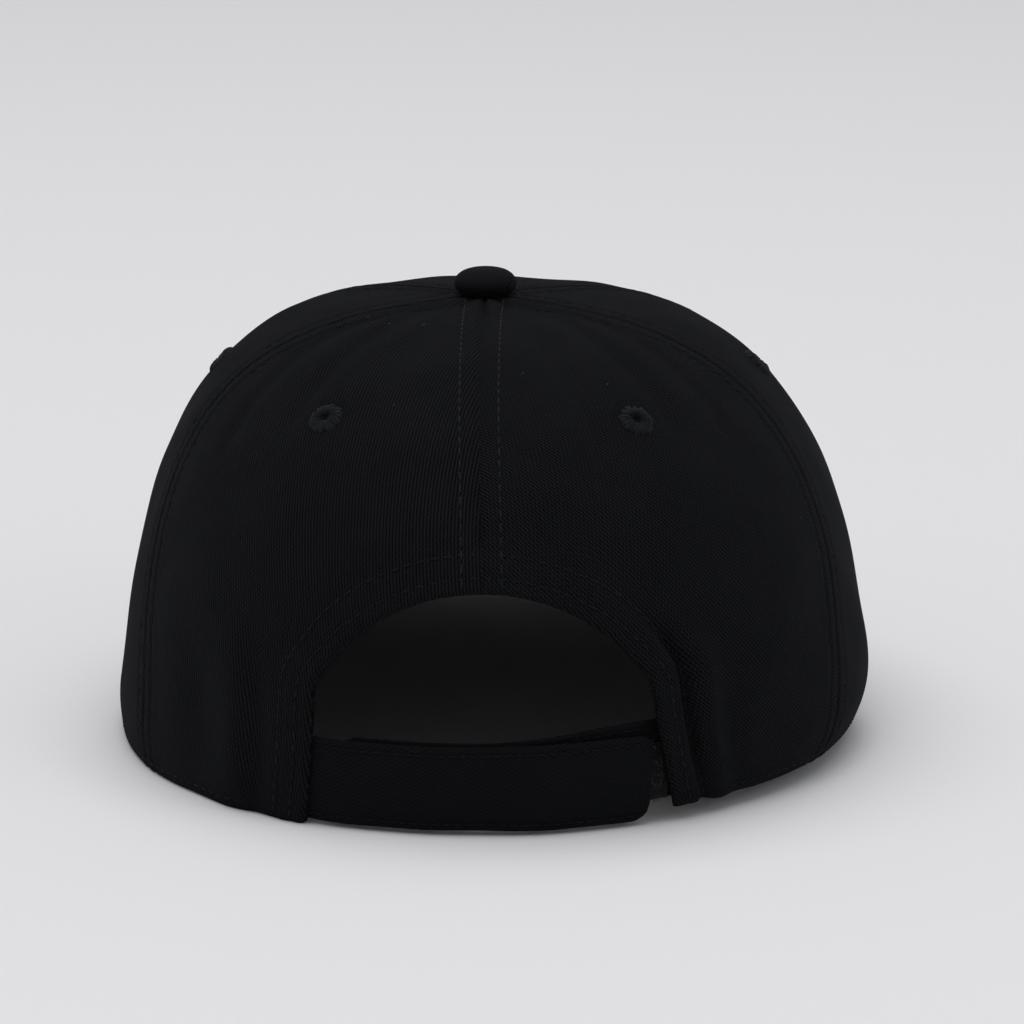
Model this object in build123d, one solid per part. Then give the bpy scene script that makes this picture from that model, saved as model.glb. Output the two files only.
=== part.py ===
from build123d import *
import os
from math import acos, asin, atan2, cos, degrees, hypot, radians, sin, sqrt

# A bump cap: a six-panel cloth cap with a curved brim and a hook-and-loop strap across its rear
# opening, and inside it a hard shell on foam pads that drops out for washing.
#
# Millimetres. +Z is up, the brim points towards -Y and the wearer's left is +X. The origin is the
# middle of the head opening, in the plane of the rear and side rim, which is what the cap stands on
# together with the two low corners of its brim. Azimuths are in degrees: 0 is the rear, 90 the
# wearer's left and 180 the front. An inset is the depth of a layer below the outside of the cloth.

# Crown, over the outside of the cloth
HALF_WIDTH = 95.0
HALF_REAR = 107.5
HALF_FRONT = 109.0
CROWN_HEIGHT = 111.6
PLAN_POWER = 2.0
SIDE_POWERS = (3.5, 2.2)
REAR_POWERS = (2.65, 3.6)
FRONT_POWERS = (2.65, 2.7)
TUCK = 0.024
TUCK_HEIGHT = 14.0
REAR_SEAM = 62.0
FRONT_SEAM = 121.0
APEX_HOLE = 4.0
CLOTH = 1.0
RIM_TRIM = 0.5
GAP = 0.12

# Rear opening: an arch on straight legs
ARCH_HALF_WIDTH = 41.0
ARCH_KNEE = 34.5
ARCH_TOP = 59.4
FACING_WIDTH = 10.0
FACING = (1.3, 1.95)

# Eyelets, one near the middle of each panel
EYELET_HEIGHT = 94.0
EYELET_AZIMUTHS = {"back": 29.0, "side": 91.5, "front": 150.5}
EYELET_BORE = 1.0
EYELET_BARREL = 2.0
EYELET_FLANGE = 4.1
EYELET_THREAD = 0.45
EYELET_SAG = 0.35

# Linings inside the crown
BUCKRAM = (1.3, 1.7)
TAPE = (2.0, 2.4)
TAPE_WIDTH = 12.0
TAPE_TOP_RADIUS = 14.0
BAND_HEIGHT = 32.0
BAND_COVER = (1.5, 5.1)
BAND_CLOTH = 0.6
BAND_FOAM_GAP = 0.6
BAND_START = 34.0

# Button on the apex
BUTTON_RADIUS = 7.8
BUTTON_HEIGHT = 6.2
BUTTON_CLOTH = 0.7
PRONG_RADIUS = 1.5
WASHER_RADIUS = 6.5
WASHER_INSETS = (2.2, 1.2)

# Brim: part of a cylinder that slopes down to the front
BRIM_RADIUS = 165.0
BRIM_ROOT_HEIGHT = 27.7
BRIM_SLOPE = 0.10
BRIM_THICKNESS = 3.4
BRIM_CLOTH = 0.75
BRIM_EDGE_CLOTH = 1.4
BRIM_START = 117.5
RIM_RISE_START = 94.0
BRIM_OUTLINE = ((85.5, -44), (88.5, -62), (88, -90), (80, -125), (58, -157), (30, -172), (0, -177))

# Straps across the rear opening
STRAP_LOW = 0.6
STRAP_WIDTH = 22.0
OUTER_STRAP = (2.0, 2.9)
HOOK_PATCH = (3.0, 3.45)
LOOP_PATCH = (3.65, 4.1)
INNER_STRAP = (4.2, 5.1)
STRAP_REACH = 39.8
STRAP_CORNER = 4.0
INNER_STRAP_TIP = 28.0
ANCHOR_LENGTH = 8.5
ANCHOR_GAP = 0.9
ANCHOR_FOLD = 1.4
PATCH_MARGIN = 2.0
HOOK_PATCH_END = 5.0

# Removable insert: hard shell and the foam pads stuck inside it
SHELL_HALF_WIDTH = 84.0
SHELL_HALF_REAR = 95.0
SHELL_HALF_FRONT = 98.0
SHELL_HEIGHT = 107.0
SHELL_EXTRA_POWER = 0.25
SHELL_WALL = 2.2
SHELL_SIDE_EDGE = 32.0
SHELL_FRONT_EDGE = 48.0
SHELL_TOP_HOLE = 9.0
SHELL_ARCH_MARGIN = 9.0
VENT_WIDTH = 5.0
VENT_LENGTH = 20.0
VENT_AZIMUTHS = (48, 72, 96, 120, 144, 168, 192, 216, 240, 264, 288, 312)
VENT_HEIGHT = 80.0
RIB_WIDTH = 5.0
RIB_HEIGHT = 1.0
RIB_AZIMUTHS = (135, 180, 225)
PAD = (2.7, 8.0)
COIN_RADIUS = 11.0
COIN_PLACE = 46.0
COIN_THICKNESS = 0.9


class Dome:
    """A rounded-box dome. Insets shrink it evenly, so two layers of one dome never cross."""

    def __init__(self, width, rear, front, height, extra_power=0.0, tuck=0.0):
        self.width, self.rear, self.front, self.height = width, rear, front, height
        self.extra, self.tuck = extra_power, tuck

    def powers(self, azimuth):
        side = sin(radians(azimuth)) ** 2
        ends = REAR_POWERS if cos(radians(azimuth)) > 0 else FRONT_POWERS
        return [side * s + (1 - side) * e + self.extra for s, e in zip(SIDE_POWERS, ends)]

    def radius(self, azimuth, inset):
        """Distance from the axis to the plan oval."""
        across, along = sin(radians(azimuth)), cos(radians(azimuth))
        depth = self.rear if along > 0 else self.front
        terms = abs(across / (self.width - inset)) ** PLAN_POWER + abs(along / (depth - inset)) ** PLAN_POWER
        return terms ** (-1 / PLAN_POWER)

    def lift_at_height(self, azimuth, height, inset):
        """The lift, 0 at the base and 90 degrees at the apex, where the meridian is at that height."""
        lift = asin(min(1, abs(height) / (self.height - inset)) ** (self.powers(azimuth)[1] / 2))
        return lift if height >= 0 else -lift

    def lift_at_radius(self, azimuth, radius, inset):
        return acos((radius / self.radius(azimuth, inset)) ** (self.powers(azimuth)[0] / 2))

    def point(self, azimuth, lift, inset):
        out_power, up_power = self.powers(azimuth)
        z = (self.height - inset) * abs(sin(lift)) ** (2 / up_power)
        z = z if lift >= 0 else -z
        tucked = 1 - self.tuck * max(0, 1 - z / TUCK_HEIGHT) ** 2
        r = self.radius(azimuth, inset) * cos(lift) ** (2 / out_power) * tucked
        return Vector(r * sin(radians(azimuth)), r * cos(radians(azimuth)), z)

    def plane(self, azimuth, height):
        """A plane on the outside at that azimuth and height: its Z is the outward normal, its Y is uphill."""
        lift, step = self.lift_at_height(azimuth, height, 0), 0.01
        here = self.point(azimuth, lift, 0)
        around = self.point(azimuth + degrees(step), lift, 0) - self.point(azimuth - degrees(step), lift, 0)
        up = self.point(azimuth, lift + step, 0) - self.point(azimuth, lift - step, 0)
        return Plane(origin=here, x_dir=-around, z_dir=up.cross(around))

    def azimuth_at_x(self, x, height, inset):
        """The azimuth on the rear half where a layer at that height is x from the middle."""
        low, high = 0.0, 89.0
        while high - low > 1e-6:
            middle = (low + high) / 2
            reached = self.point(middle, self.lift_at_height(middle, height, inset), inset).X
            low, high = (middle, high) if reached < abs(x) else (low, middle)
        return low if x > 0 else -low


CROWN = Dome(HALF_WIDTH, HALF_REAR, HALF_FRONT, CROWN_HEIGHT, tuck=TUCK)
SHELL = Dome(SHELL_HALF_WIDTH, SHELL_HALF_REAR, SHELL_HALF_FRONT, SHELL_HEIGHT, SHELL_EXTRA_POWER)


def smooth(share):
    """0 to 1 with level ends."""
    share = min(1, max(0, share))
    return share * share * (3 - 2 * share)


def from_front(azimuth):
    """How far an azimuth is round from the rear, 0 to 180, on either side."""
    return abs((azimuth + 180) % 360 - 180)


def brim_top(x, y):
    """Height of the brim's upper face."""
    return BRIM_ROOT_HEIGHT + BRIM_SLOPE * (y + HALF_FRONT) - (BRIM_RADIUS - sqrt(BRIM_RADIUS**2 - x**2))


def rim_height(azimuth):
    """The rim is level at the rear and sides, and rises at the front to the brim's underside."""
    turned = from_front(azimuth)
    if turned <= RIM_RISE_START:
        return 0.0
    radius = CROWN.radius(max(turned, BRIM_START), 0)
    x = radius * sin(radians(max(turned, BRIM_START)))
    y = radius * cos(radians(max(turned, BRIM_START)))
    underside = brim_top(x, y) - BRIM_THICKNESS * BRIM_RADIUS / sqrt(BRIM_RADIUS**2 - x**2)
    return underside * smooth((turned - RIM_RISE_START) / (BRIM_START - RIM_RISE_START))


def shell_edge(azimuth):
    """Lower edge of the hard shell: higher over the forehead than at the sides."""
    share = smooth((from_front(azimuth) - 100) / 50)
    return SHELL_SIDE_EDGE + (SHELL_FRONT_EDGE - SHELL_SIDE_EDGE) * share


def at_height(height, above=0.0):
    """A layer's end at a height, given as a number or as a function of azimuth."""

    def lift(dome, azimuth, inset):
        base = height(azimuth) if callable(height) else height
        return dome.lift_at_height(azimuth, base + above, inset)

    return lift


def at_radius(radius):
    """A layer's end at a distance from the axis."""
    return lambda dome, azimuth, inset: dome.lift_at_radius(azimuth, radius, inset)


def meridian(dome, azimuth, inset, start, stop, points):
    """Evenly spaced points along a meridian between two lifts."""
    fine = [dome.point(azimuth, start + (stop - start) * k / 200, inset) for k in range(201)]
    travelled = [0.0]
    for here, there in zip(fine, fine[1:]):
        travelled.append(travelled[-1] + (there - here).length)
    chosen = []
    for k in range(points):
        target = travelled[-1] * k / (points - 1)
        j = min(199, max(i for i, done in enumerate(travelled) if done <= target + 1e-9))
        share = (target - travelled[j]) / (travelled[j + 1] - travelled[j])
        chosen.append(fine[j] + (fine[j + 1] - fine[j]) * share)
    return chosen


def layer(dome, first, last, insets, low, high, step=10.0, points=13):
    """The solid between two insets of a dome, lofted through the meridian planes from first to last."""
    count = max(3, round(abs(last - first) / step) + 1)
    sections = []
    for i in range(count):
        azimuth = first + (last - first) * i / (count - 1)
        curves = []
        for inset in insets:
            start, stop = low(dome, azimuth, inset), high(dome, azimuth, inset)
            curves.append(meridian(dome, azimuth, inset, start, stop, points))
        outer, inner = curves
        edges = [
            Edge.make_spline(outer),
            Edge.make_line(outer[-1], inner[-1]),
            Edge.make_spline(inner[::-1]),
            Edge.make_line(inner[0], outer[0]),
        ]
        sections.append(Wire(edges))
    return Solid.make_loft(sections)


def arch_prism(margin):
    """A bar through the rear with the opening's outline, enlarged by a margin."""
    half, top = ARCH_HALF_WIDTH + margin, ARCH_TOP + margin
    face = Plane.XZ * make_face(
        Polyline((-half, ARCH_KNEE), (-half, -20), (half, -20), (half, ARCH_KNEE))
        + ThreePointArc((half, ARCH_KNEE), (0, top), (-half, ARCH_KNEE))
    )
    return extrude(face, amount=-150)


def slab(azimuth, width):
    """An upright board through the axis, reaching out at that azimuth only."""
    board = Pos(0, 100, 60) * Box(width, 200, 160)
    return Rot(0, 0, -azimuth) * board


def cylinder_on(plane, radius, out=5.0, depth=15.0):
    """A drill on a plane, from out above it to depth below it."""
    return plane * Pos(0, 0, (out - depth) / 2) * Cylinder(radius, out + depth)


# --- crown ---------------------------------------------------------------------------------------

PANELS = {
    "back_left": (0.0, REAR_SEAM),
    "back_right": (-REAR_SEAM, 0.0),
    "side_left": (REAR_SEAM, FRONT_SEAM),
    "side_right": (-FRONT_SEAM, -REAR_SEAM),
    "front_left": (FRONT_SEAM, 180.0),
    "front_right": (-180.0, -FRONT_SEAM),
}


def eyelet_plane(name):
    place, side = name.split("_")
    azimuth = EYELET_AZIMUTHS[place]
    return CROWN.plane(azimuth if side == "left" else -azimuth, EYELET_HEIGHT)


def crown_panel(name):
    """One cloth gore with its eyelet hole; the rear pair also have the opening cut out of them."""
    first, last = PANELS[name]
    low = at_height(rim_height, above=-RIM_TRIM)
    gore = layer(CROWN, first, last, (0, CLOTH), low, at_radius(APEX_HOLE), points=17)
    gore = gore - Pos(0, 0, -5) * Box(300, 300, 10)
    gore = gore - cylinder_on(eyelet_plane(name), EYELET_BARREL + GAP)
    return gore - arch_prism(0) if name.startswith("back") else gore


def eyelet(name):
    """A worked ring of thread with a flange on each face of the panel."""
    top, bottom = EYELET_THREAD + GAP, -CLOTH - EYELET_SAG
    profile = Polyline(
        (EYELET_BORE, bottom - EYELET_THREAD),
        (EYELET_FLANGE - 0.5, bottom - EYELET_THREAD),
        (EYELET_FLANGE - 0.5, bottom),
        (EYELET_BARREL, bottom),
        (EYELET_BARREL, GAP),
        (EYELET_FLANGE, GAP),
        (EYELET_FLANGE - 0.5, top),
        (EYELET_BORE + 0.4, top),
        (EYELET_BORE, GAP),
        close=True,
    )
    return eyelet_plane(name) * revolve(Plane.XZ * make_face(profile), Axis.Z)


def buckram(name):
    """The stiffener behind a front panel, clear of the seams."""
    first, last = PANELS[name]
    low, high = at_height(rim_height, above=BAND_HEIGHT + 4), at_radius(TAPE_TOP_RADIUS + 4)
    sheet = layer(CROWN, first + 4, last - 4, BUCKRAM, low, high)
    return sheet - cylinder_on(eyelet_plane(name), EYELET_FLANGE + 0.6)


def seam_tape(azimuth):
    """The binding over a seam, from the apex down to the sweatband or the rear facing."""
    if azimuth == 0:
        low = at_height(ARCH_TOP + FACING_WIDTH + 1)
    else:
        low = at_height(rim_height, above=BAND_HEIGHT + 2)
    sheet = layer(CROWN, azimuth - 32, azimuth + 32, TAPE, low, at_radius(TAPE_TOP_RADIUS))
    return sheet & slab(azimuth, TAPE_WIDTH)


def arch_facing():
    """The binding round the inside of the rear opening, down both legs to the rim."""
    sheet = layer(CROWN, -40, 40, FACING, at_height(0.4), at_height(74))
    return (sheet & arch_prism(FACING_WIDTH)) - arch_prism(0.2)


def sweatband():
    """The padded band inside the rim: a cloth tube, open at its ends, with a strip of foam in it."""
    outer, inner = BAND_COVER

    def band(start, trim, insets):
        low, high = at_height(rim_height, above=0.6 + trim), at_height(rim_height, above=BAND_HEIGHT - trim)
        return layer(CROWN, start, 360 - start, insets, low, high, points=7)

    pocket = (outer + BAND_CLOTH, inner - BAND_CLOTH)
    cover = band(BAND_START, 0, BAND_COVER) - band(BAND_START - 2, BAND_CLOTH, pocket)
    foam_insets = (pocket[0] + BAND_FOAM_GAP, pocket[1] - BAND_FOAM_GAP)
    foam = band(BAND_START + 1, BAND_CLOTH + BAND_FOAM_GAP, foam_insets)
    return cover, foam


def turned(*points):
    """A solid of revolution about the crown's axis, from (radius, height) corners."""
    return revolve(Plane.XZ * make_face(Polyline(*points, close=True)), Axis.Z)


def button_parts():
    """Cloth cover, metal core and the prong that clinches them through the apex."""
    base = CROWN_HEIGHT + GAP

    def pill(radius, low, high):
        """A flat-based dome with rounded shoulders."""
        shoulder = (high - low) * 0.55
        outline = (
            Polyline((0, high), (0, low), (radius - 0.6, low))
            + ThreePointArc((radius - 0.6, low), (radius, low + 0.9), (radius - 0.1, high - shoulder))
            + Spline(
                (radius - 0.1, high - shoulder), (radius * 0.78, high - shoulder * 0.3), (0, high),
                tangents=((-0.05, 1), (-1, 0)),
            )
        )
        return revolve(Plane.XZ * make_face(outline), Axis.Z)

    outside = pill(BUTTON_RADIUS, base, base + BUTTON_HEIGHT)
    low, high = base + BUTTON_CLOTH, base + BUTTON_HEIGHT - BUTTON_CLOTH
    cover = outside - pill(BUTTON_RADIUS - BUTTON_CLOTH, low, high)
    cover = cover - Pos(0, 0, base) * Cylinder(PRONG_RADIUS + 2, 4)
    core = pill(BUTTON_RADIUS - BUTTON_CLOTH - GAP, low + GAP, high - GAP)
    core = core - Pos(0, 0, base) * Cylinder(PRONG_RADIUS + GAP / 2, 6)
    bottom, top = (CROWN_HEIGHT - inset for inset in WASHER_INSETS)
    prong = turned((0, bottom), (WASHER_RADIUS, bottom), (WASHER_RADIUS, top), (PRONG_RADIUS, top),
                   (PRONG_RADIUS, base + 2.7), (0, base + 2.7))
    return cover, core, prong


# --- brim ----------------------------------------------------------------------------------------


def brim_slab(down_top, down_bottom):
    """A curved board between two depths below the brim's upper face, far longer than the brim."""
    start, reach, half = -30.0, 170.0, 100.0
    centre = brim_top(0, start) - BRIM_RADIUS

    def arc(radius):
        side = sqrt(radius**2 - half**2)
        return [(-half, centre + side), (0, centre + radius), (half, centre + side)]

    top, bottom = arc(BRIM_RADIUS - down_top), arc(BRIM_RADIUS - down_bottom)
    face = make_face(
        ThreePointArc(*top) + Line(top[2], bottom[2]) + ThreePointArc(*bottom[::-1]) + Line(bottom[0], top[0])
    )
    return Pos(0, start, 0) * extrude(Plane.XZ * face, amount=reach, dir=(0, -1, -BRIM_SLOPE))


def brim_plan(inset):
    """An upright bar with the brim's plan outline, less an inset at its free edge."""
    half = []
    for x, y in BRIM_OUTLINE:
        reach = hypot(x, y)
        half.append((x * (1 - inset / reach), y * (1 - inset / reach)))
    left = [(-x, y) for x, y in half[-2::-1]]
    edge = Spline(*half, *left)
    root = ThreePointArc(left[-1], (0, -HALF_FRONT + 14), half[0])
    return Pos(0, 0, -20) * extrude(make_face(edge + root), amount=80)


def brim_parts():
    """Upper cloth, lower cloth and the plastic board between them, butted against the crown."""
    seat = layer(CROWN, BRIM_START - 22, 360 - BRIM_START + 22, (-0.15, 25), at_height(0), at_height(60))
    whole = brim_plan(0)
    board = (brim_slab(BRIM_CLOTH, BRIM_THICKNESS - BRIM_CLOTH) & brim_plan(BRIM_EDGE_CLOTH)) - seat
    pocket = brim_slab(BRIM_CLOTH - GAP, BRIM_THICKNESS - BRIM_CLOTH + GAP) & brim_plan(BRIM_EDGE_CLOTH - GAP)
    middle = BRIM_THICKNESS / 2
    upper = (brim_slab(0, middle - GAP / 2) & whole) - pocket - seat
    lower = (brim_slab(middle + GAP / 2, BRIM_THICKNESS) & whole) - pocket - seat
    return upper, board, lower


# --- straps --------------------------------------------------------------------------------------


def strap_piece(from_x, to_x, insets, margin=0.0):
    """A strip of a strap between two distances from the middle, following the rim's curve."""
    middle = STRAP_LOW + STRAP_WIDTH / 2
    first, last = (CROWN.azimuth_at_x(x, middle, insets[0]) for x in sorted((from_x, to_x)))
    low, high = STRAP_LOW + margin, STRAP_LOW + STRAP_WIDTH - margin
    return layer(CROWN, first, last, insets, at_height(low), at_height(high), points=5)


def tip_rounding(tip_x, radius):
    """The bar through the rear that leaves a strap's free end with round corners."""
    low, high = STRAP_LOW - 1, STRAP_LOW + STRAP_WIDTH + 1
    length, height = 120.0, high - low - 2
    sheet = Pos(tip_x - (length / 2 if tip_x > 0 else -length / 2), (low + high) / 2)
    return extrude(Plane.XZ * (sheet * RectangleRounded(length, height, radius)), amount=-150)


def outer_strap_parts():
    """The strap sewn to the wearer's left: sewn end, free length, and the hooks inside its free end."""
    reach = STRAP_REACH
    start = ARCH_HALF_WIDTH + 0.3
    anchor = strap_piece(start, start + ANCHOR_LENGTH, OUTER_STRAP)
    strap = strap_piece(-reach, start - ANCHOR_GAP, OUTER_STRAP) & tip_rounding(-reach, STRAP_CORNER)
    hooks = strap_piece(-reach + PATCH_MARGIN, HOOK_PATCH_END, HOOK_PATCH, margin=PATCH_MARGIN)
    return anchor, strap, hooks


def inner_strap_parts():
    """The strap sewn to the wearer's right: folded sewn end, free length, and the loops outside it."""
    start = -ARCH_HALF_WIDTH - 0.3
    anchor = strap_piece(start - ANCHOR_LENGTH, start - ANCHOR_FOLD, (OUTER_STRAP[0], INNER_STRAP[1]))
    strap = strap_piece(start + ANCHOR_GAP, INNER_STRAP_TIP, INNER_STRAP)
    strap = strap & tip_rounding(INNER_STRAP_TIP, STRAP_CORNER)
    loops = strap_piece(start + ANCHOR_GAP + 1, INNER_STRAP_TIP - PATCH_MARGIN, LOOP_PATCH, margin=0.8)
    return anchor, strap, loops


# --- insert --------------------------------------------------------------------------------------


def whole_ring(dome, insets, low, high, **options):
    """A layer all the way round, as two halves fused on the middle plane."""
    left = layer(dome, 0, 180, insets, low, high, **options)
    right = layer(dome, 180, 360, insets, low, high, **options)
    return left + right


def vent(azimuth):
    """A round-ended slot through the shell, running up its slope."""
    plane = SHELL.plane(azimuth, VENT_HEIGHT)
    outline = plane * SlotOverall(VENT_LENGTH, VENT_WIDTH, rotation=90)
    return extrude(outline, amount=8, both=True)


def bump_shell():
    """The hard shell, with a rear arch, a top hole and vents, and three ribs over the crown."""
    wall = whole_ring(SHELL, (0, SHELL_WALL), at_height(shell_edge), at_radius(SHELL_TOP_HOLE), step=15.0)
    skin = (-RIB_HEIGHT, SHELL_WALL / 2)
    for azimuth in RIB_AZIMUTHS:
        rib = layer(SHELL, azimuth - 24, azimuth + 24, skin, at_height(shell_edge, above=8), at_radius(22))
        wall = wall + (rib & slab(azimuth, RIB_WIDTH))
    wall = wall - arch_prism(SHELL_ARCH_MARGIN)
    for azimuth in VENT_AZIMUTHS:
        wall = wall - vent(azimuth)
    return wall


def crown_pad():
    """The ring pad over the top of the head, slit into six petals that share a collar."""
    ring = whole_ring(SHELL, PAD, lambda d, a, i: d.lift_at_radius(a, 50, i), at_radius(11), step=15.0, points=6)
    for azimuth in range(30, 390, 60):
        ring = ring - Rot(0, 0, -azimuth) * (Pos(0, 45, 100) * Box(5, 50, 60))
    return ring


def shell_pad(first, last, low, high):
    return layer(SHELL, first, last, PAD, at_height(low), at_height(high), points=7)


def coins(side):
    """A hook-and-loop pair between the crown's lining and the shell: loops above, hooks below."""
    drill = Pos(side * COIN_PLACE, 0, 100) * Cylinder(COIN_RADIUS, 60)
    first, last = (70, 110) if side > 0 else (250, 290)
    low, high = at_radius(COIN_PLACE + 20), at_radius(COIN_PLACE - 20)
    loops = layer(CROWN, first, last, (TAPE[1] + GAP, TAPE[1] + COIN_THICKNESS), low, high) & drill
    hooks = layer(SHELL, first, last, (-COIN_THICKNESS, -GAP), low, high) & drill
    return loops, hooks


# --- write ---------------------------------------------------------------------------------------


def build():
    """Every piece by its node name."""
    parts = {}
    for name in PANELS:
        parts[f"panel_{name}"] = crown_panel(name)
        parts[f"eyelet_{name}"] = eyelet(name)
    parts["buckram_left"] = buckram("front_left")
    parts["buckram_right"] = buckram("front_right")
    tapes = {
        "centre_back": 0, "centre_front": 180, "back_left": REAR_SEAM, "back_right": -REAR_SEAM,
        "front_left": FRONT_SEAM, "front_right": -FRONT_SEAM,
    }
    for name, azimuth in tapes.items():
        parts[f"seam_tape_{name}"] = seam_tape(azimuth)
    parts["arch_facing"] = arch_facing()
    parts["sweatband_cover"], parts["sweatband_foam"] = sweatband()
    parts["button_cover"], parts["button_core"], parts["button_prong"] = button_parts()
    parts["brim_upper_cloth"], parts["brim_board"], parts["brim_lower_cloth"] = brim_parts()
    parts["outer_strap_anchor"], parts["outer_strap"], parts["hook_patch"] = outer_strap_parts()
    parts["inner_strap_anchor"], parts["inner_strap"], parts["loop_patch"] = inner_strap_parts()
    parts["bump_shell"] = bump_shell()
    parts["crown_pad"] = crown_pad()
    parts["front_pad"] = shell_pad(147, 213, SHELL_FRONT_EDGE + 3, 88)
    for side, word in ((1, "left"), (-1, "right")):
        parts[f"side_pad_{word}"] = shell_pad(side * 78, side * 128, 46, 82)
        parts[f"rear_pad_{word}"] = shell_pad(side * 38, side * 62, 36, 80)
        parts[f"loop_coin_{word}"], parts[f"hook_coin_{word}"] = coins(side)
    return parts


os.makedirs("parts", exist_ok=True)
for node, shape in build().items():
    export_step(shape, f"parts/{node}.step")
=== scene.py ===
from math import cos, pi, radians, sin, sqrt
import bmesh
import bpy
import numpy as np
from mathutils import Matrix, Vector
from mathutils.bvhtree import BVHTree


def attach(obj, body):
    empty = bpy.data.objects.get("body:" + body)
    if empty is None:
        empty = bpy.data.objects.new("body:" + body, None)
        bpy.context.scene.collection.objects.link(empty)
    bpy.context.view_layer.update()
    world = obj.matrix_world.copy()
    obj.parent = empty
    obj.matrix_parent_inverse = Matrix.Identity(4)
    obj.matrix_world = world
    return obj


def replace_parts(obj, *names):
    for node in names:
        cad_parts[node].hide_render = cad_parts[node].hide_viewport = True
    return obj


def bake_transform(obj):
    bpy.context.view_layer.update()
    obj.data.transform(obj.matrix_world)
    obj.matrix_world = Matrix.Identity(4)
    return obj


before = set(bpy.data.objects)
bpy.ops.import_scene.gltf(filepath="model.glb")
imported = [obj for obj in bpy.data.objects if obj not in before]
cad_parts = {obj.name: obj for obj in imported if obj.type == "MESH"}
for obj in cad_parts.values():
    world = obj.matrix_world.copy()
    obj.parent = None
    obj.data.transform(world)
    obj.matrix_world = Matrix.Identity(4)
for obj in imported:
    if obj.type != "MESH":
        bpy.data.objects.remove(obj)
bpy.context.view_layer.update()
MM = 0.001
rng = np.random.default_rng(11)

# ------------------------------------------------------------------ crown surface (millimetres)
HALF_WIDTH, HALF_REAR, HALF_FRONT, HEIGHT = 95.0, 107.5, 109.0, 111.6
SIDE_POWERS, REAR_POWERS, FRONT_POWERS = (3.5, 2.2), (2.65, 3.6), (2.65, 2.7)
TUCK, TUCK_HEIGHT = 0.024, 14.0
SHELL_SIZE = (84.0, 95.0, 98.0, 107.0, 0.25)
BRIM_RADIUS, BRIM_ROOT, BRIM_SLOPE, BRIM_THICK, BRIM_START = 165.0, 27.7, 0.10, 3.4, 117.5
RIM_RISE_START = 94.0
ARCH_HALF, ARCH_KNEE, ARCH_TOP = 41.0, 34.5, 59.4
APEX_RADIUS = 2.5


def smooth(x):
    x = np.clip(x, 0, 1)
    return x * x * (3 - 2 * x)


def bump(x, centre, width):
    return np.exp(-(((x - centre) / width) ** 2))


def dome(azimuth, lift, size=(HALF_WIDTH, HALF_REAR, HALF_FRONT, HEIGHT, 0.0), tuck=TUCK):
    """Points of a rounded-box dome; azimuth in degrees from the rear, lift in radians from the base."""
    width, rear, front, height, extra = size
    s, c = np.sin(np.radians(azimuth)), np.cos(np.radians(azimuth))
    back = c > 0
    radius = 1 / np.sqrt((s / width) ** 2 + (c / np.where(back, rear, front)) ** 2)
    out = s * s * SIDE_POWERS[0] + c * c * np.where(back, REAR_POWERS[0], FRONT_POWERS[0]) + extra
    up = s * s * SIDE_POWERS[1] + c * c * np.where(back, REAR_POWERS[1], FRONT_POWERS[1]) + extra
    z = height * np.abs(np.sin(lift)) ** (2 / up)
    r = radius * np.abs(np.cos(lift)) ** (2 / out) * (1 - tuck * np.clip(1 - z / TUCK_HEIGHT, 0, 1) ** 2)
    return np.stack([r * s, r * c, z], -1)


def lift_at_height(azimuth, z, size=(HALF_WIDTH, HALF_REAR, HALF_FRONT, HEIGHT, 0.0)):
    s, c = np.sin(np.radians(azimuth)), np.cos(np.radians(azimuth))
    up = s * s * SIDE_POWERS[1] + c * c * np.where(c > 0, REAR_POWERS[1], FRONT_POWERS[1]) + size[4]
    return np.arcsin(np.clip(z / size[3], 0, 1) ** (up / 2))


def brim_top(x, y):
    return BRIM_ROOT + BRIM_SLOPE * (y + HALF_FRONT) - (BRIM_RADIUS - np.sqrt(BRIM_RADIUS**2 - x**2))


def rim_height(azimuth):
    turned = np.abs((np.asarray(azimuth, float) + 180) % 360 - 180)
    foot = dome(np.maximum(turned, BRIM_START), np.zeros_like(turned), tuck=0)
    under = brim_top(foot[..., 0], foot[..., 1]) - BRIM_THICK
    return np.where(turned <= RIM_RISE_START, 0, under * smooth((turned - RIM_RISE_START) / (BRIM_START - RIM_RISE_START)))


# lift at even arc lengths, for every degree round and 256 steps up
AZ_TABLE = np.arange(-181.0, 182.0, 1.0)
STEPS = 256


def make_table():
    table, lengths = [], []
    for az in AZ_TABLE:
        low = float(lift_at_height(az, rim_height(az)))
        lifts = low + (pi / 2 - low) * np.linspace(0, 1, 900)
        points = dome(np.full(900, az), lifts)
        keep = np.hypot(points[:, 0], points[:, 1]) >= APEX_RADIUS
        lifts, points = lifts[keep], points[keep]
        travelled = np.concatenate([[0], np.cumsum(np.linalg.norm(np.diff(points, axis=0), axis=1))])
        table.append(np.interp(np.linspace(0, travelled[-1], STEPS), travelled, lifts))
        lengths.append(travelled[-1])
    return np.array(table), np.array(lengths)


LIFTS, LENGTHS = make_table()


def lift_of(azimuth, t):
    row = np.clip(azimuth - AZ_TABLE[0], 0, len(AZ_TABLE) - 1.001)
    col = np.clip(t, 0, 1) * (STEPS - 1.001)
    i, j = row.astype(int), col.astype(int)
    fi, fj = row - i, col - j
    return (LIFTS[i, j] * (1 - fi) * (1 - fj) + LIFTS[i + 1, j] * fi * (1 - fj)
            + LIFTS[i, j + 1] * (1 - fi) * fj + LIFTS[i + 1, j + 1] * fi * fj)


def length_of(azimuth):
    return np.interp(azimuth, AZ_TABLE, LENGTHS)


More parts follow.
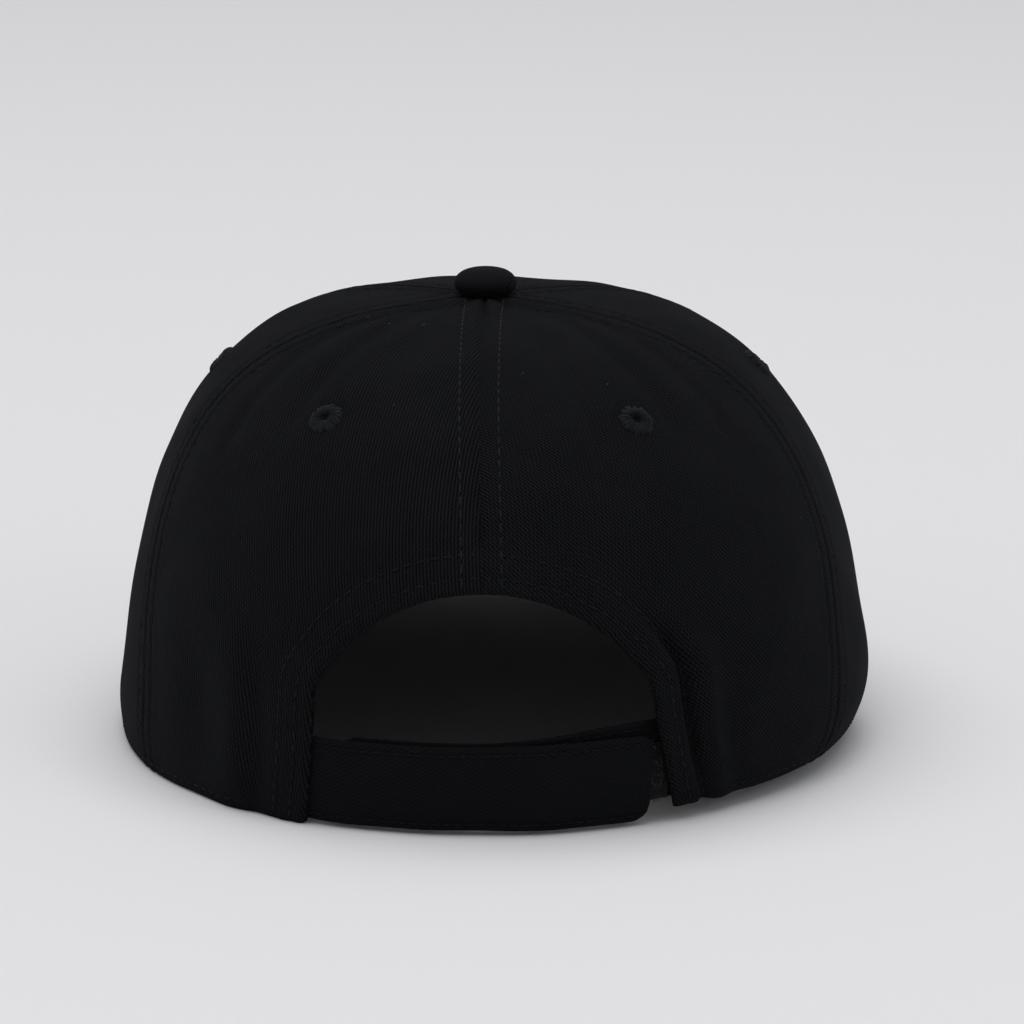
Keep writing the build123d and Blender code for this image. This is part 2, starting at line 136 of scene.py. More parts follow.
def surface(azimuth, t):
    """Crown points and outward normals at an azimuth and a share of the way up to the apex."""
    azimuth, t = np.broadcast_arrays(np.asarray(azimuth, float), np.asarray(t, float))
    lift = lift_of(azimuth, t)
    return with_normals(azimuth, lift, lambda a, l: dome(a, l))


def with_normals(azimuth, lift, fn):
    here = fn(azimuth, lift)
    around = fn(azimuth + 0.2, lift) - fn(azimuth - 0.2, lift)
    up = fn(azimuth, np.minimum(lift + 2e-3, pi / 2)) - fn(azimuth, np.maximum(lift - 2e-3, 0))
    normal = np.cross(up, around)
    return here, normal / np.maximum(np.linalg.norm(normal, axis=-1, keepdims=True), 1e-9)


def t_at_height(azimuth, z):
    azimuth, z = np.broadcast_arrays(np.asarray(azimuth, float), np.asarray(z, float))
    low, high = np.zeros_like(z), np.ones_like(z)
    for _ in range(26):
        middle = (low + high) / 2
        under = dome(azimuth, lift_of(azimuth, middle))[..., 2] < z
        low, high = np.where(under, middle, low), np.where(under, high, middle)
    return (low + high) / 2


def azimuth_at(x, z):
    """Azimuth on the rear half where the crown at height z is x from the middle."""
    x, z = np.broadcast_arrays(np.asarray(x, float), np.asarray(z, float))
    az = np.degrees(np.arcsin(np.clip(x / HALF_WIDTH, -0.99, 0.99)))
    for _ in range(14):
        p = dome(az, lift_at_height(az, z))
        r = np.hypot(p[..., 0], p[..., 1])
        az = 0.4 * az + 0.6 * np.degrees(np.arcsin(np.clip(x / r, -0.99, 0.99)))
    return az


SEAM_T = np.array([0, 0.1, 0.22, 0.34, 0.46, 0.55, 0.62, 0.70, 0.79, 0.88, 1.0])
SEAM_AZ = np.array([60.0, 60.6, 63.6, 66.0, 66.4, 65.6, 63.8, 60.6, 57.2, 55.0, 54.2])
_fine = np.interp(np.linspace(-0.1, 1.1, 601), SEAM_T, SEAM_AZ)
_kernel = bump(np.linspace(-1, 1, 61), 0, 0.5)
SEAM_FINE = np.convolve(np.pad(_fine, 30, mode="edge"), _kernel / _kernel.sum(), mode="valid")


def seam_azimuth(seam, t):
    """Azimuth of a seam: the rear side seams bow forwards on their way up."""
    if abs(seam) == 62:
        return np.sign(seam) * np.interp(t, np.linspace(-0.1, 1.1, 601), SEAM_FINE)
    return np.full_like(np.asarray(t, float), seam)


def beside(p, azimuth, seam):
    """Distance of crown points from the meridian of a seam, positive towards higher azimuths."""
    return np.hypot(p[..., 0], p[..., 1]) * np.sin(np.radians(azimuth - seam))


def shifted(azimuth, t, offset):
    """Azimuths that stand a distance to the side of the given ones."""
    p = dome(azimuth, lift_of(azimuth, t))
    r = np.maximum(np.hypot(p[..., 0], p[..., 1]), np.abs(offset) + 0.2)
    return azimuth + np.degrees(np.arcsin(offset / r))


def cloth_coords(p, azimuth, middle, tilt=0.0):
    """Across and along a panel's cloth, in millimetres, with the grain a tilt away from its middle."""
    profile, _ = surface(np.full(500, middle), np.linspace(0, 1, 500))
    pr, pz = np.hypot(profile[:, 0], profile[:, 1]), profile[:, 2]
    run = np.concatenate([[0], np.cumsum(np.hypot(np.diff(pr), np.diff(pz)))])
    r = np.hypot(p[..., 0], p[..., 1])
    near = ((r[..., None] - pr) ** 2 + (p[..., 2, None] - pz) ** 2).argmin(-1)
    u, v = r * np.radians(azimuth - middle), run[near]
    c, s = cos(radians(tilt)), sin(radians(tilt))
    return np.stack([u * c + v * s, v * c - u * s], -1)


def sway(p):
    """The worn crown leans a little to the wearer's right."""
    p = np.array(p, float)
    z = np.clip(p[..., 2] / HEIGHT, 0, 1)
    p[..., 0] = p[..., 0] - 2.4 * np.sin(pi * z**0.8) * smooth((p[..., 1] + 85) / 60)
    return p


def lean(p):
    """Sway, with the rear right rim ridden up and bellied out."""
    p = np.array(p, float)
    rear = smooth((p[..., 1] + 25) / 45)
    raised = 3.6 * smooth((-p[..., 0] - 33) / 10) * rear * (1 - smooth(p[..., 2] / 62))
    belly = 2.3 * smooth((-p[..., 0] - 55) / 34) * rear * bump(p[..., 2], 14, 17)
    p = sway(p)
    p[..., 2] = p[..., 2] + raised
    p[..., 0] = p[..., 0] - belly
    return p


def flare(p):
    """The wearer's right leg of the rear opening swings out towards the rim."""
    p = np.array(p, float)
    low = np.clip((36 - p[..., 2]) / 33, 0, 1.05) ** 1.25
    near = smooth((-p[..., 0] - 22) / 14) * (1 - smooth((-p[..., 0] - 44) / 34)) * (p[..., 1] > 30)
    old = np.clip(np.abs(p[..., 0]) / 97, 0, 0.99)
    p[..., 0] = p[..., 0] - 7.6 * low * near
    new = np.clip(np.abs(p[..., 0]) / 97, 0, 0.99)
    p[..., 1] = p[..., 1] * (1 + (np.sqrt((1 - new**2) / (1 - old**2)) - 1) * (near > 0)) - 0.6 * low * near
    return p


# ------------------------------------------------------------------ mesh helpers
def add_piece(name, verts, faces, body, material, weave=None, sharp=35, recalc=True):
    faces = np.asarray(faces)
    used, faces = np.unique(faces, return_inverse=True)
    faces = faces.reshape(-1, 4)
    mesh = bpy.data.meshes.new(name)
    quads = [tuple(dict.fromkeys(f)) for f in faces.tolist()]
    mesh.from_pydata((np.asarray(verts)[used] * MM).tolist(), [], [q for q in quads if len(q) > 2])
    if weave is not None:
        layer = mesh.attributes.new("weave", "FLOAT_VECTOR", "POINT")
        coords = np.zeros((len(used), 3), np.float32)
        coords[:, :2] = np.asarray(weave)[used]
        layer.data.foreach_set("vector", coords.ravel())
    if recalc:
        bm = bmesh.new()
        bm.from_mesh(mesh)
        bmesh.ops.remove_doubles(bm, verts=bm.verts, dist=1e-7)
        bmesh.ops.recalc_face_normals(bm, faces=bm.faces)
        bm.to_mesh(mesh)
        bm.free()
    mesh.shade_smooth()
    if sharp:
        mesh.set_sharp_from_angle(angle=radians(sharp))
    mesh.materials.append(material)
    obj = bpy.data.objects.new(name, mesh)
    bpy.context.scene.collection.objects.link(obj)
    if body:
        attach(obj, body)
    return obj


def slab(outer, inner, mask=None):
    """Faces of the closed solid between two grids of points, over the cells in the mask."""
    rows, cols = outer.shape[:2]
    n = rows * cols
    ids = np.arange(n).reshape(rows, cols)
    a, b, c, d = ids[:-1, :-1], ids[:-1, 1:], ids[1:, 1:], ids[1:, :-1]
    keep = np.ones(a.shape, bool) if mask is None else mask
    top = np.stack([a[keep], d[keep], c[keep], b[keep]], -1)
    starts, ends = top.ravel(), np.roll(top, -1, axis=1).ravel()
    lone = ~np.isin(starts * n + ends, ends * n + starts)
    walls = np.stack([starts[lone], ends[lone], ends[lone] + n, starts[lone] + n], -1)
    verts = np.concatenate([outer.reshape(-1, 3), inner.reshape(-1, 3)])
    return verts, np.concatenate([top, top[:, ::-1] + n, walls])


def tube(rings, closed_ends=True):
    """Faces of a skin over rings of points, all of one count."""
    m, k = rings.shape[:2]
    ids = np.arange(m * k).reshape(m, k)
    nxt = np.roll(ids, -1, axis=1)
    faces = np.stack([ids[:-1], ids[1:], nxt[1:], nxt[:-1]], -1).reshape(-1, 4)
    verts = rings.reshape(-1, 3)
    if closed_ends:
        caps = []
        for ring, centre in ((ids[0], len(verts)), (ids[-1], len(verts) + 1)):
            caps.append(np.stack([ring, np.roll(ring, -1), np.full(k, centre), np.full(k, centre)], -1))
        verts = np.concatenate([verts, rings[0].mean(0)[None], rings[-1].mean(0)[None]])
        faces = np.concatenate([faces] + caps)
    return verts, faces


def spaced(edges):
    """A grid line spacing from (end value, cell count) pairs, each stretch even."""
    out = [edges[0][0]]
    for (a, _), (b, n) in zip(edges, edges[1:]):
        out += list(np.linspace(a, b, n + 1)[1:])
    return np.array(out)


# one stitch: a thread that rises out of the cloth and dives back in
_x = np.linspace(-1, 1, 7)
_fat = np.array([0.45, 0.85, 1, 1, 1, 0.85, 0.45])
_ring = np.radians(np.arange(0, 360, 60))
STITCH = np.array([[x, sin(a) * f, cos(a) * f] for x, f in zip(_x, _fat) for a in _ring])
_v, STITCH_FACES = tube(STITCH.reshape(7, 6, 3))
STITCH = _v


def stitch_mesh(lines, length=2.5, gap=0.75, radius=0.18, sink=0.30):
    """Threads along each (points, normals) line, spaced by length and gap."""
    all_verts, all_faces, count = [], [], 0
    for points, normals in lines:
        s = np.concatenate([[0], np.cumsum(np.linalg.norm(np.diff(points, axis=0), axis=1))])
        n = int(s[-1] / (length + gap))
        if n < 1:
            continue
        mid = (np.arange(n) + 0.5) * s[-1] / n

        def at(values, where):
            return np.stack([np.interp(where, s, values[:, k]) for k in range(3)], -1)

        real = length * s[-1] / n / (length + gap)
        a, b, nn = at(points, mid - real / 2), at(points, mid + real / 2), at(normals, mid)
        t = b - a
        t /= np.linalg.norm(t, axis=1, keepdims=True)
        side = np.cross(nn, t)
        side /= np.linalg.norm(side, axis=1, keepdims=True)
        t = t + side * rng.normal(0, 0.035, (n, 1))
        centre = (a + b) / 2 + nn * rng.normal(0, 0.015, (n, 1))
        size = radius * (1 + rng.normal(0, 0.05, (n, 1, 1)))
        x, y, z = STITCH[:, 0], STITCH[:, 1], STITCH[:, 2]
        rise = (radius * 0.55 - sink * x**4)[None, :, None]
        v = (centre[:, None] + t[:, None] * (x * real / 2)[None, :, None] + side[:, None] * y[None, :, None] * size
             + nn[:, None] * (z[None, :, None] * size * 0.85 + rise))
        all_verts.append(v.reshape(-1, 3))
        all_faces.append((STITCH_FACES[None] + (np.arange(n) * len(STITCH))[:, None, None]).reshape(-1, 4) + count)
        count += n * len(STITCH)
    return np.concatenate(all_verts), np.concatenate(all_faces)


# ------------------------------------------------------------------ materials
def new_material(name, roughness, sheen=0.0, sheen_rough=0.4, metallic=0.0, specular=0.5, tint=(1, 1, 1, 1)):
    mat = bpy.data.materials.new(name)
    mat.use_nodes = True
    nodes, links = mat.node_tree.nodes, mat.node_tree.links
    shader = nodes["Principled BSDF"]
    shader.inputs["Roughness"].default_value = roughness
    shader.inputs["Metallic"].default_value = metallic
    shader.inputs["Specular IOR Level"].default_value = specular
    if sheen:
        shader.inputs["Sheen Weight"].default_value = sheen
        shader.inputs["Sheen Roughness"].default_value = sheen_rough
        shader.inputs["Sheen Tint"].default_value = tint
    return mat, nodes, links, shader


class Graph:
    """Small helper to wire shader maths."""

    def __init__(self, nodes, links):
        self.nodes, self.links = nodes, links

    def math(self, op, a, b=None, c=None):
        node = self.nodes.new("ShaderNodeMath")
        node.operation = op
        for slot, value in zip(node.inputs, (a, b, c)):
            if value is None:
                continue
            if isinstance(value, (int, float)):
                slot.default_value = value
            else:
                self.links.new(value, slot)
        return node.outputs[0]

    def coords(self, attribute):
        if attribute:
            node = self.nodes.new("ShaderNodeAttribute")
            node.attribute_name = attribute
            return node.outputs["Vector"]
        return self.nodes.new("ShaderNodeTexCoord").outputs["Object"]

    def split(self, vector):
        node = self.nodes.new("ShaderNodeSeparateXYZ")
        self.links.new(vector, node.inputs[0])
        return node.outputs

    def noise(self, vector, scale, detail=2.0, rough=0.5):
        node = self.nodes.new("ShaderNodeTexNoise")
        node.inputs["Scale"].default_value = scale
        node.inputs["Detail"].default_value = detail
        node.inputs["Roughness"].default_value = rough
        self.links.new(vector, node.inputs["Vector"])
        return node.outputs["Fac"]

    def colour(self, factor, low, high, a=0.0, b=1.0):
        node = self.nodes.new("ShaderNodeMapRange")
        node.inputs["From Min"].default_value, node.inputs["From Max"].default_value = a, b
        self.links.new(factor, node.inputs["Value"])
        mix = self.nodes.new("ShaderNodeMix")
        mix.data_type = "RGBA"
        mix.inputs["A"].default_value = (*low, 1)
        mix.inputs["B"].default_value = (*high, 1)
        self.links.new(node.outputs[0], mix.inputs["Factor"])
        return mix.outputs["Result"]

    def bump(self, height, distance, strength, shader):
        node = self.nodes.new("ShaderNodeBump")
        node.inputs["Distance"].default_value = distance
        node.inputs["Strength"].default_value = strength
        self.links.new(height, node.inputs["Height"])
        self.links.new(node.outputs[0], shader.inputs["Normal"])


def twill(name, low, high, angle=27.0, pitch=0.83, sheen=0.01, strength=0.7, fade=0.30):
    """Cotton twill: diagonal wales crossed by the yarns that make them, on the piece's weave coordinates."""
    mat, nodes, links, shader = new_material(name, 0.86, sheen, 0.45, specular=0.03, tint=(0.86, 0.92, 1, 1))
    g = Graph(nodes, links)
    weave = g.coords("weave")
    u, v, _ = g.split(weave)
    wobble = g.noise(weave, 0.9, 2.0)
    ca, sa = cos(radians(angle)), sin(radians(angle))
    square = g.math("MULTIPLY_ADD", u, ca, g.math("MULTIPLY", v, -sa))
    along = g.math("MULTIPLY_ADD", u, sa, g.math("MULTIPLY", v, ca))
    phase = g.math("MULTIPLY_ADD", wobble, 0.22, square)
    wale = g.math("SINE", g.math("MULTIPLY", phase, 2 * pi / pitch))
    float_phase = g.math("MULTIPLY_ADD", along, 1 / (1.4 * pitch), g.math("MULTIPLY", phase, 0.5 / pitch))
    floats = g.math("SINE", g.math("MULTIPLY", float_phase, 2 * pi))
    height = g.math("MULTIPLY_ADD", floats, 0.28, g.math("MULTIPLY", wale, 0.72))
    fuzz = g.noise(weave, 3.4, 3.0, 0.7)
    height = g.math("MULTIPLY_ADD", fuzz, 0.7, height)
    worn = g.noise(weave, 0.045, 3.0, 0.55)
    shade = g.math("ADD", g.math("MULTIPLY", height, 0.44), g.math("MULTIPLY", worn, fade))
    links.new(g.colour(shade, low, high, -0.12, 0.95), shader.inputs["Base Color"])
    g.bump(height, 0.00014, strength, shader)
    return mat


def fuzzy(name, low, high, scale=900.0, distance=0.0005, sheen=0.4, roughness=0.95, strength=0.8):
    """Pile, foam skin or felted cloth: a grain in object space."""
    mat, nodes, links, shader = new_material(name, roughness, sheen, 0.5, specular=0.2)
    g = Graph(nodes, links)
    place = g.coords(None)
    grain, clump = g.noise(place, scale, 4.0, 0.7), g.noise(place, scale * 0.12, 2.0)
    links.new(g.colour(g.math("MULTIPLY_ADD", clump, 0.6, grain), low, high, 0.45, 1.15), shader.inputs["Base Color"])
    g.bump(grain, distance, strength, shader)
    return mat


def thread(name, low, high, sheen=0.3):
    mat, nodes, links, shader = new_material(name, 0.62, sheen, 0.35, specular=0.1)
    g = Graph(nodes, links)
    place = g.coords(None)
    fine, broad = g.noise(place, 2600.0, 2.0), g.noise(place, 180.0, 2.0)
    links.new(g.colour(g.math("ADD", fine, broad), low, high, 0.7, 1.3), shader.inputs["Base Color"])
    g.bump(fine, 0.00012, 0.5, shader)
    return mat


def moulded(name, low, high, roughness=0.5, scale=1400.0, distance=0.00006, metallic=0.0):
    mat, nodes, links, shader = new_material(name, roughness, metallic=metallic)
    g = Graph(nodes, links)
    place = g.coords(None)
    grain, broad = g.noise(place, scale, 3.0, 0.6), g.noise(place, 22.0, 3.0)
    links.new(g.colour(broad, low, high, 0.35, 0.65), shader.inputs["Base Color"])
    rough = g.math("MULTIPLY_ADD", broad, 0.2, roughness - 0.1)
    links.new(rough, shader.inputs["Roughness"])
    g.bump(grain, distance, 0.7, shader)
    return mat


CLOTH = twill("crown_twill", (0.0009, 0.0010, 0.0012), (0.0138, 0.0144, 0.0162))
CLOTH_BUTTON = twill("button_twill", (0.0036, 0.0037, 0.0041), (0.0130, 0.0135, 0.0150), strength=0.25)
CLOTH_BRIM = twill("brim_twill", (0.0009, 0.0010, 0.0012), (0.0138, 0.0144, 0.0162), angle=40)
CLOTH_STRAP = twill("strap_twill", (0.0036, 0.0038, 0.0043), (0.0084, 0.0088, 0.0101), angle=-60, pitch=0.95, strength=0.28)
CLOTH_INNER = twill("lining_twill", (0.0018, 0.0019, 0.0021), (0.0105, 0.0110, 0.0122), angle=45, pitch=0.9)
THREAD = thread("stitching_thread", (0.0026, 0.0028, 0.0033), (0.0088, 0.0093, 0.0108), sheen=0.03)
THREAD_DARK = thread("shaded_thread", (0.0014, 0.0015, 0.0018), (0.0056, 0.0059, 0.0069), sheen=0.02)
# a lighter copy of the stitching thread: painted light for the centre seams over the lit top of the crown
THREAD_LIT = thread("lit_thread", (0.0062, 0.0066, 0.0076), (0.0210, 0.0220, 0.0245), sheen=0.05)
EYELET_THREAD = thread("eyelet_thread", (0.0034, 0.0039, 0.0050), (0.0140, 0.0156, 0.0190), sheen=0.05)
LOOPS = fuzzy("loop_pile", (0.0008, 0.0008, 0.0010), (0.0070, 0.0073, 0.0083), scale=1500.0, distance=0.0006, sheen=0.08)
HOOKS = moulded("hook_plastic", (0.008, 0.008, 0.009), (0.014, 0.014, 0.015), roughness=0.45)
FOAM = fuzzy("pad_foam", (0.020, 0.021, 0.023), (0.042, 0.044, 0.047), scale=1100.0, distance=0.0003, sheen=0.1, strength=0.6)
BUCKRAM = fuzzy("buckram_mesh", (0.36, 0.35, 0.32), (0.62, 0.60, 0.56), scale=700.0, distance=0.0003, sheen=0.1)
ABS = moulded("shell_abs", (0.010, 0.010, 0.011), (0.017, 0.017, 0.018), roughness=0.52)
POLY = moulded("brim_polyethylene", (0.45, 0.46, 0.46), (0.56, 0.57, 0.57), roughness=0.5, scale=300)
STEEL = moulded("button_steel", (0.50, 0.50, 0.51), (0.62, 0.62, 0.63), roughness=0.4, metallic=1.0)
LINT = thread("lint", (0.08, 0.08, 0.08), (0.22, 0.22, 0.225), sheen=0.0)

for node, material in (("bump_shell", ABS), ("brim_board", POLY), ("button_core", STEEL), ("button_prong", STEEL)):
    for material_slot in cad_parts[node].material_slots:
        material_slot.material = material

# ------------------------------------------------------------------ cloth relief
SEAM_STITCH, SIDE_GROOVE = 4.7, 0.28
RIM_STITCH, RIM_GROOVE = 2.6, 0.14
EDGE_STITCH, HEM_STITCH = 3.6, 7.9
GRAIN_TILT = 15.0
PUCKERS = rng.uniform(0, 2 * pi, (8, 6))


def pucker(s, kind):
    """Uneven gathers along a stitched line."""
    p = PUCKERS[kind % 8]
    return (np.sin(2 * pi * s / 5.3 + p[0]) * (0.6 + 0.4 * np.sin(2 * pi * s / 31 + p[1]))
            + 0.55 * np.sin(2 * pi * s / 3.1 + p[2]) + 0.5 * np.sin(2 * pi * s / 11.7 + p[3])) * 0.5


def seam_relief(d, s, kind, groove_depth=0.55):
    """Height of the cloth at a distance from a seam: groove, padded allowance, stitch line, shoulder."""
    groove = -groove_depth * bump(d, 0, 0.45)
    allowance = 0.22 * smooth((d - 0.2) / 1.0) * (1 - smooth((d - 3.2) / 1.8))
    stitched = -0.12 * bump(d, SEAM_STITCH, 0.6)
    shoulder = 0.08 * bump(d, 6.6, 1.6)
    gathers = pucker(s, kind) * (0.10 * bump(d, SEAM_STITCH, 2.0) + 0.05 * bump(d, 1.6, 1.2))
    return groove + allowance + stitched + shoulder + gathers


WAVES = [(rng.uniform(0.5, 1.0), rng.uniform(0, 2 * pi), rng.uniform(0, 2 * pi), rng.uniform(24, 62), rng.uniform(30, 80))
         for _ in range(7)]


def softness(u, v, edge):
    """Slow undulation of soft cloth, fading out at its sewn edges."""
    h = sum(k * np.sin(2 * pi * u / a + p) * np.sin(2 * pi * v / b + q) for k, p, q, a, b in WAVES)
    return 0.16 * h * smooth(edge / 16)


EYELETS = {}
for place, az in (("back", 29.0), ("side", 91.5), ("front", 150.5)):
    for side, sign in (("left", 1), ("right", -1)):
        EYELETS[f"{place}_{side}"] = (az * sign, float(t_at_height(az * sign, 94.0)))

PANELS = {
    "side_left": (62, 121), "side_right": (-62, -121),
    "front_left": (121, 180), "front_right": (-121, -180),
}
stitch_lines = []
centre_lines = []
hem_lines = []
inside_lines = []


def eyelet_dimple(name, points):
    az, t = EYELETS[name]
    centre, _ = surface(az, t)
    d = np.linalg.norm(points - centre, axis=-1)
    return -0.30 * bump(d, 4.7, 1.1) - 0.9 * bump(d, 0, 1.6)


def seam_line(seam, offset, low=0.004, high=0.985):
    """A line beside a seam: positive offsets are on its higher-azimuth side."""
    t = np.linspace(low, high, 260)
    az = shifted(seam_azimuth(seam, t), t, offset)
    p, n = surface((az + 180) % 360 - 180, t)
    keep = np.hypot(p[:, 0], p[:, 1]) > BUTTON_RADIUS - 1.0
    return lean(p[keep]), n[keep]


BUTTON_RADIUS = 7.8


def gore(name):
    """A side or front panel, as a closed sheet with its seams' relief."""
    first, last = PANELS[name]
    w = spaced([(0, 0), (0.17, 24), (0.83, 30), (1, 24)])
    t = np.linspace(0, 1, 230)
    tt, ww = np.meshgrid(t, w, indexing="ij")
    a0, a1 = seam_azimuth(first, tt), seam_azimuth(last, tt)
    az = a0 + (a1 - a0) * ww
    p, n = surface(az, tt)
    s = tt * length_of(az)
    d0, d1 = np.abs(beside(p, az, a0)), np.abs(beside(p, az, a1))
    weave = cloth_coords(p, az, (first + last) / 2)
    kind = list(PANELS).index(name)
    h = np.where(d0 < d1, seam_relief(d0, s, kind, SIDE_GROOVE), seam_relief(d1, s, kind + 1, SIDE_GROOVE))
    h = h + softness(*np.moveaxis(weave, -1, 0), np.minimum(np.minimum(d0, d1), s)) + eyelet_dimple(name, p)
    h = h - 0.5 * (1 - smooth(s / 1.2)) - RIM_GROOVE * bump(s, RIM_STITCH, 0.6)
    outer, inner = lean(p + n * h[..., None]), lean(p - n)
    verts, faces = slab(outer, inner)
    weave = weave.reshape(-1, 2)
    piece = add_piece(f"crown_{name}", verts, faces, "cap", CLOTH, np.concatenate([weave, weave]))
    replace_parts(piece, f"panel_{name}")
    return piece


def arch_outline(count_leg, count_arc):
    """The rear opening's half outline on the wearer's left, from the rim to the top, as x and z."""
    half, rise = ARCH_HALF, ARCH_TOP - ARCH_KNEE
    radius = (half**2 + rise**2) / (2 * rise)
    centre = ARCH_TOP - radius
    start = np.arctan2(ARCH_KNEE - centre, half)
    angles = np.linspace(start, pi / 2, count_arc)
    leg_z = np.linspace(0, ARCH_KNEE, count_leg, endpoint=False)
    x = np.concatenate([np.full(count_leg, half), radius * np.cos(angles)])
    z = np.concatenate([leg_z, centre + radius * np.sin(angles)])
    # ease the knee
    for _ in range(10):
        x[1:-1] = (x[:-2] + 2 * x[1:-1] + x[2:]) / 4
        z[1:-1] = (z[:-2] + 2 * z[1:-1] + z[2:]) / 4
    return x, z


def resample(x, z, shares):
    s = np.concatenate([[0], np.cumsum(np.hypot(np.diff(x), np.diff(z)))])
    s /= s[-1]
    return np.interp(shares, s, x), np.interp(shares, s, z)


def left_folds(x, z):
    """Soft upright folds beside the straight leg, flattening out at the rim and at mid height."""
    reach = (1 - smooth((z - 24) / 28)) * (0.35 + 0.65 * smooth(z / 12))
    return reach * (-1.4 * bump(x, 53.0 + 0.06 * z, 2.8) + 1.2 * bump(x, 60, 4.0) - 0.8 * bump(x, 70, 4.5))


def right_folds(x, z, d_arch, hem_width):
    """The slack that rolls away from the flared leg: a crease along its hem and a soft ridge outside it."""
    reach = smooth((58 - z) / 18) * (0.45 + 0.55 * smooth(z / 16))
    crease = -2.9 * bump(d_arch, hem_width + 0.8, 1.7) + 1.5 * bump(d_arch, hem_width + 6.7, 3.4)
    second = -0.9 * bump(d_arch, hem_width + 15, 4.0)
    return reach * (crease + second * (1 - smooth((z - 14) / 26)))


# shallow wrinkles that run from the button: azimuth, width, depth, height where they start
TOP_FOLDS = {"left": ((36, 3.2, 0.8, 86), (21, 2.6, 0.5, 92), (50, 3.0, 0.6, 80)), "right": ((19, 3.0, 0.8, 84), (36, 3.4, 0.9, 86), (48, 2.8, 0.5, 82))}


def back_panel(side):
    """A rear panel on a grid stretched between the opening and the side seam."""
    sign = 1 if side == "left" else -1
    a = spaced([(0, 0), (0.06, 10), (0.90, 140), (1, 26)])
    b = spaced([(0, 0), (0.16, 30), (0.86, 32), (1, 22)])
    ox, oz = resample(*arch_outline(60, 120), a)
    oaz = azimuth_at(ox, oz)
    ot = t_at_height(oaz, oz)
    # opposite side: up the side seam, then round the apex to the centre seam
    turn = 0.965
    st = np.clip(a / turn, 0, 1)
    seam_az = np.where(a <= turn, seam_azimuth(62, st), seam_azimuth(62, st) * (1 - (a - turn) / (1 - turn)))
    rim_az = oaz[0] + (seam_azimuth(62, np.array([0.0]))[0] - oaz[0]) * b
    centre_t = ot[-1] + (1 - ot[-1]) * b
    aa, bb = np.meshgrid(a, b, indexing="ij")
    az = ((1 - bb) * oaz[:, None] + bb * seam_az[:, None] + (1 - aa) * rim_az[None, :] + aa * 0.0
          - ((1 - aa) * (1 - bb) * oaz[0] + (1 - aa) * bb * seam_az[0] + aa * (1 - bb) * 0.0 + aa * bb * 0.0))
    t = ((1 - bb) * ot[:, None] + bb * st[:, None] + (1 - aa) * 0.0 + aa * centre_t[None, :]
         - ((1 - aa) * (1 - bb) * ot[0] + (1 - aa) * bb * st[0] + aa * (1 - bb) * ot[-1] + aa * bb * 1.0))
    az, t = np.maximum(az, 0), np.clip(t, 0, 1)
    az[-1, :] = 0
    az = az * sign
    p, n = surface(az, t)
    s = t * length_of(az)
    d_seam = np.abs(beside(p, az, seam_azimuth(62 * sign, t)))
    d_mid = np.abs(p[..., 0])
    ox2, oz2 = arch_outline(60, 120)
    edge_az = azimuth_at(ox2, oz2) * sign
    edge, _ = surface(edge_az, t_at_height(np.abs(edge_az), oz2))
    mirror = edge * [-1, 1, 1]
    both = np.concatenate([edge, mirror])
    d_arch = np.sqrt(((p[..., None, :] - both) ** 2).sum(-1)).min(-1)
    weave = cloth_coords(p, az, 31.0 * sign, GRAIN_TILT * sign)
    hem_width = HEM_STITCH + 1.0 * smooth((p[..., 2] - 42) / 14)
    h_seam, h_mid = seam_relief(d_seam, s, 3 if sign > 0 else 5, SIDE_GROOVE), seam_relief(d_mid, s, 6)
    far = smooth((d_arch - 10) / 2)
    h = np.where(d_seam < d_mid, h_seam, (h_mid - 0.35 * bump(d_mid, 0, 0.4)) * (0.35 + 0.65 * far))
    edge_distance = np.minimum(np.minimum(d_seam, d_mid), np.minimum(d_arch, s))
    h = h + softness(*np.moveaxis(weave, -1, 0), edge_distance)
    h = h + eyelet_dimple(f"back_{side}", p)
    run = np.where(np.abs(p[..., 0]) > 36, s, 40 + np.abs(np.degrees(np.arctan2(p[..., 0], p[..., 2] - 15))) * 0.8)
    hem = (0.34 * smooth((d_arch - 0.2) / 1.2) * (1 - smooth((d_arch - hem_width) / 1.6))
           - 0.16 * bump(d_arch, EDGE_STITCH, 0.6) - 0.26 * bump(d_arch, hem_width, 0.66)
           + pucker(run, 7) * (0.08 * bump(d_arch, EDGE_STITCH, 1.5) + 0.17 * bump(d_arch, hem_width + 0.3, 2.0)))
    fold = -0.9 * (1 - np.sqrt(np.clip(1 - (1 - np.clip(d_arch, 0, 0.9) / 0.9) ** 2, 0, 1)))
    h = h + hem * smooth(d_seam / 6) + fold
    h = h - 0.5 * (1 - smooth(s / 1.2)) - RIM_GROOVE * bump(s, RIM_STITCH, 0.6) * smooth((d_arch - 9) / 3)
    x, z = p[..., 0] * sign, p[..., 2]
    if sign > 0:
        h = h + left_folds(x, z)
    else:
        h = h + right_folds(x, z, d_arch, hem_width)
    h = h - 0.5 * bump(x, 24 + 0.2 * (z - 60), 9) * bump(z, 74, 10)
    for az_fold, width, depth, top in TOP_FOLDS[side]:
        h = h - depth * bump(beside(p, np.abs(az), az_fold), 0, width) * smooth((z - top) / 7) * smooth(edge_distance / 6)
    outer = flare(lean(p + n * h[..., None]))
    sunk = np.maximum(0, -h - 0.2) * (d_arch > 1.5)
    inner = flare(lean(p - n * (1.0 + np.minimum(fold * -0.2, 0.2) + sunk)[..., None]))
    verts, faces = slab(outer, inner)
    weave = weave.reshape(-1, 2)
    piece = add_piece(f"crown_back_{side}", verts, faces, "cap", CLOTH, np.concatenate([weave, weave]))
    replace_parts(piece, f"panel_back_{side}")
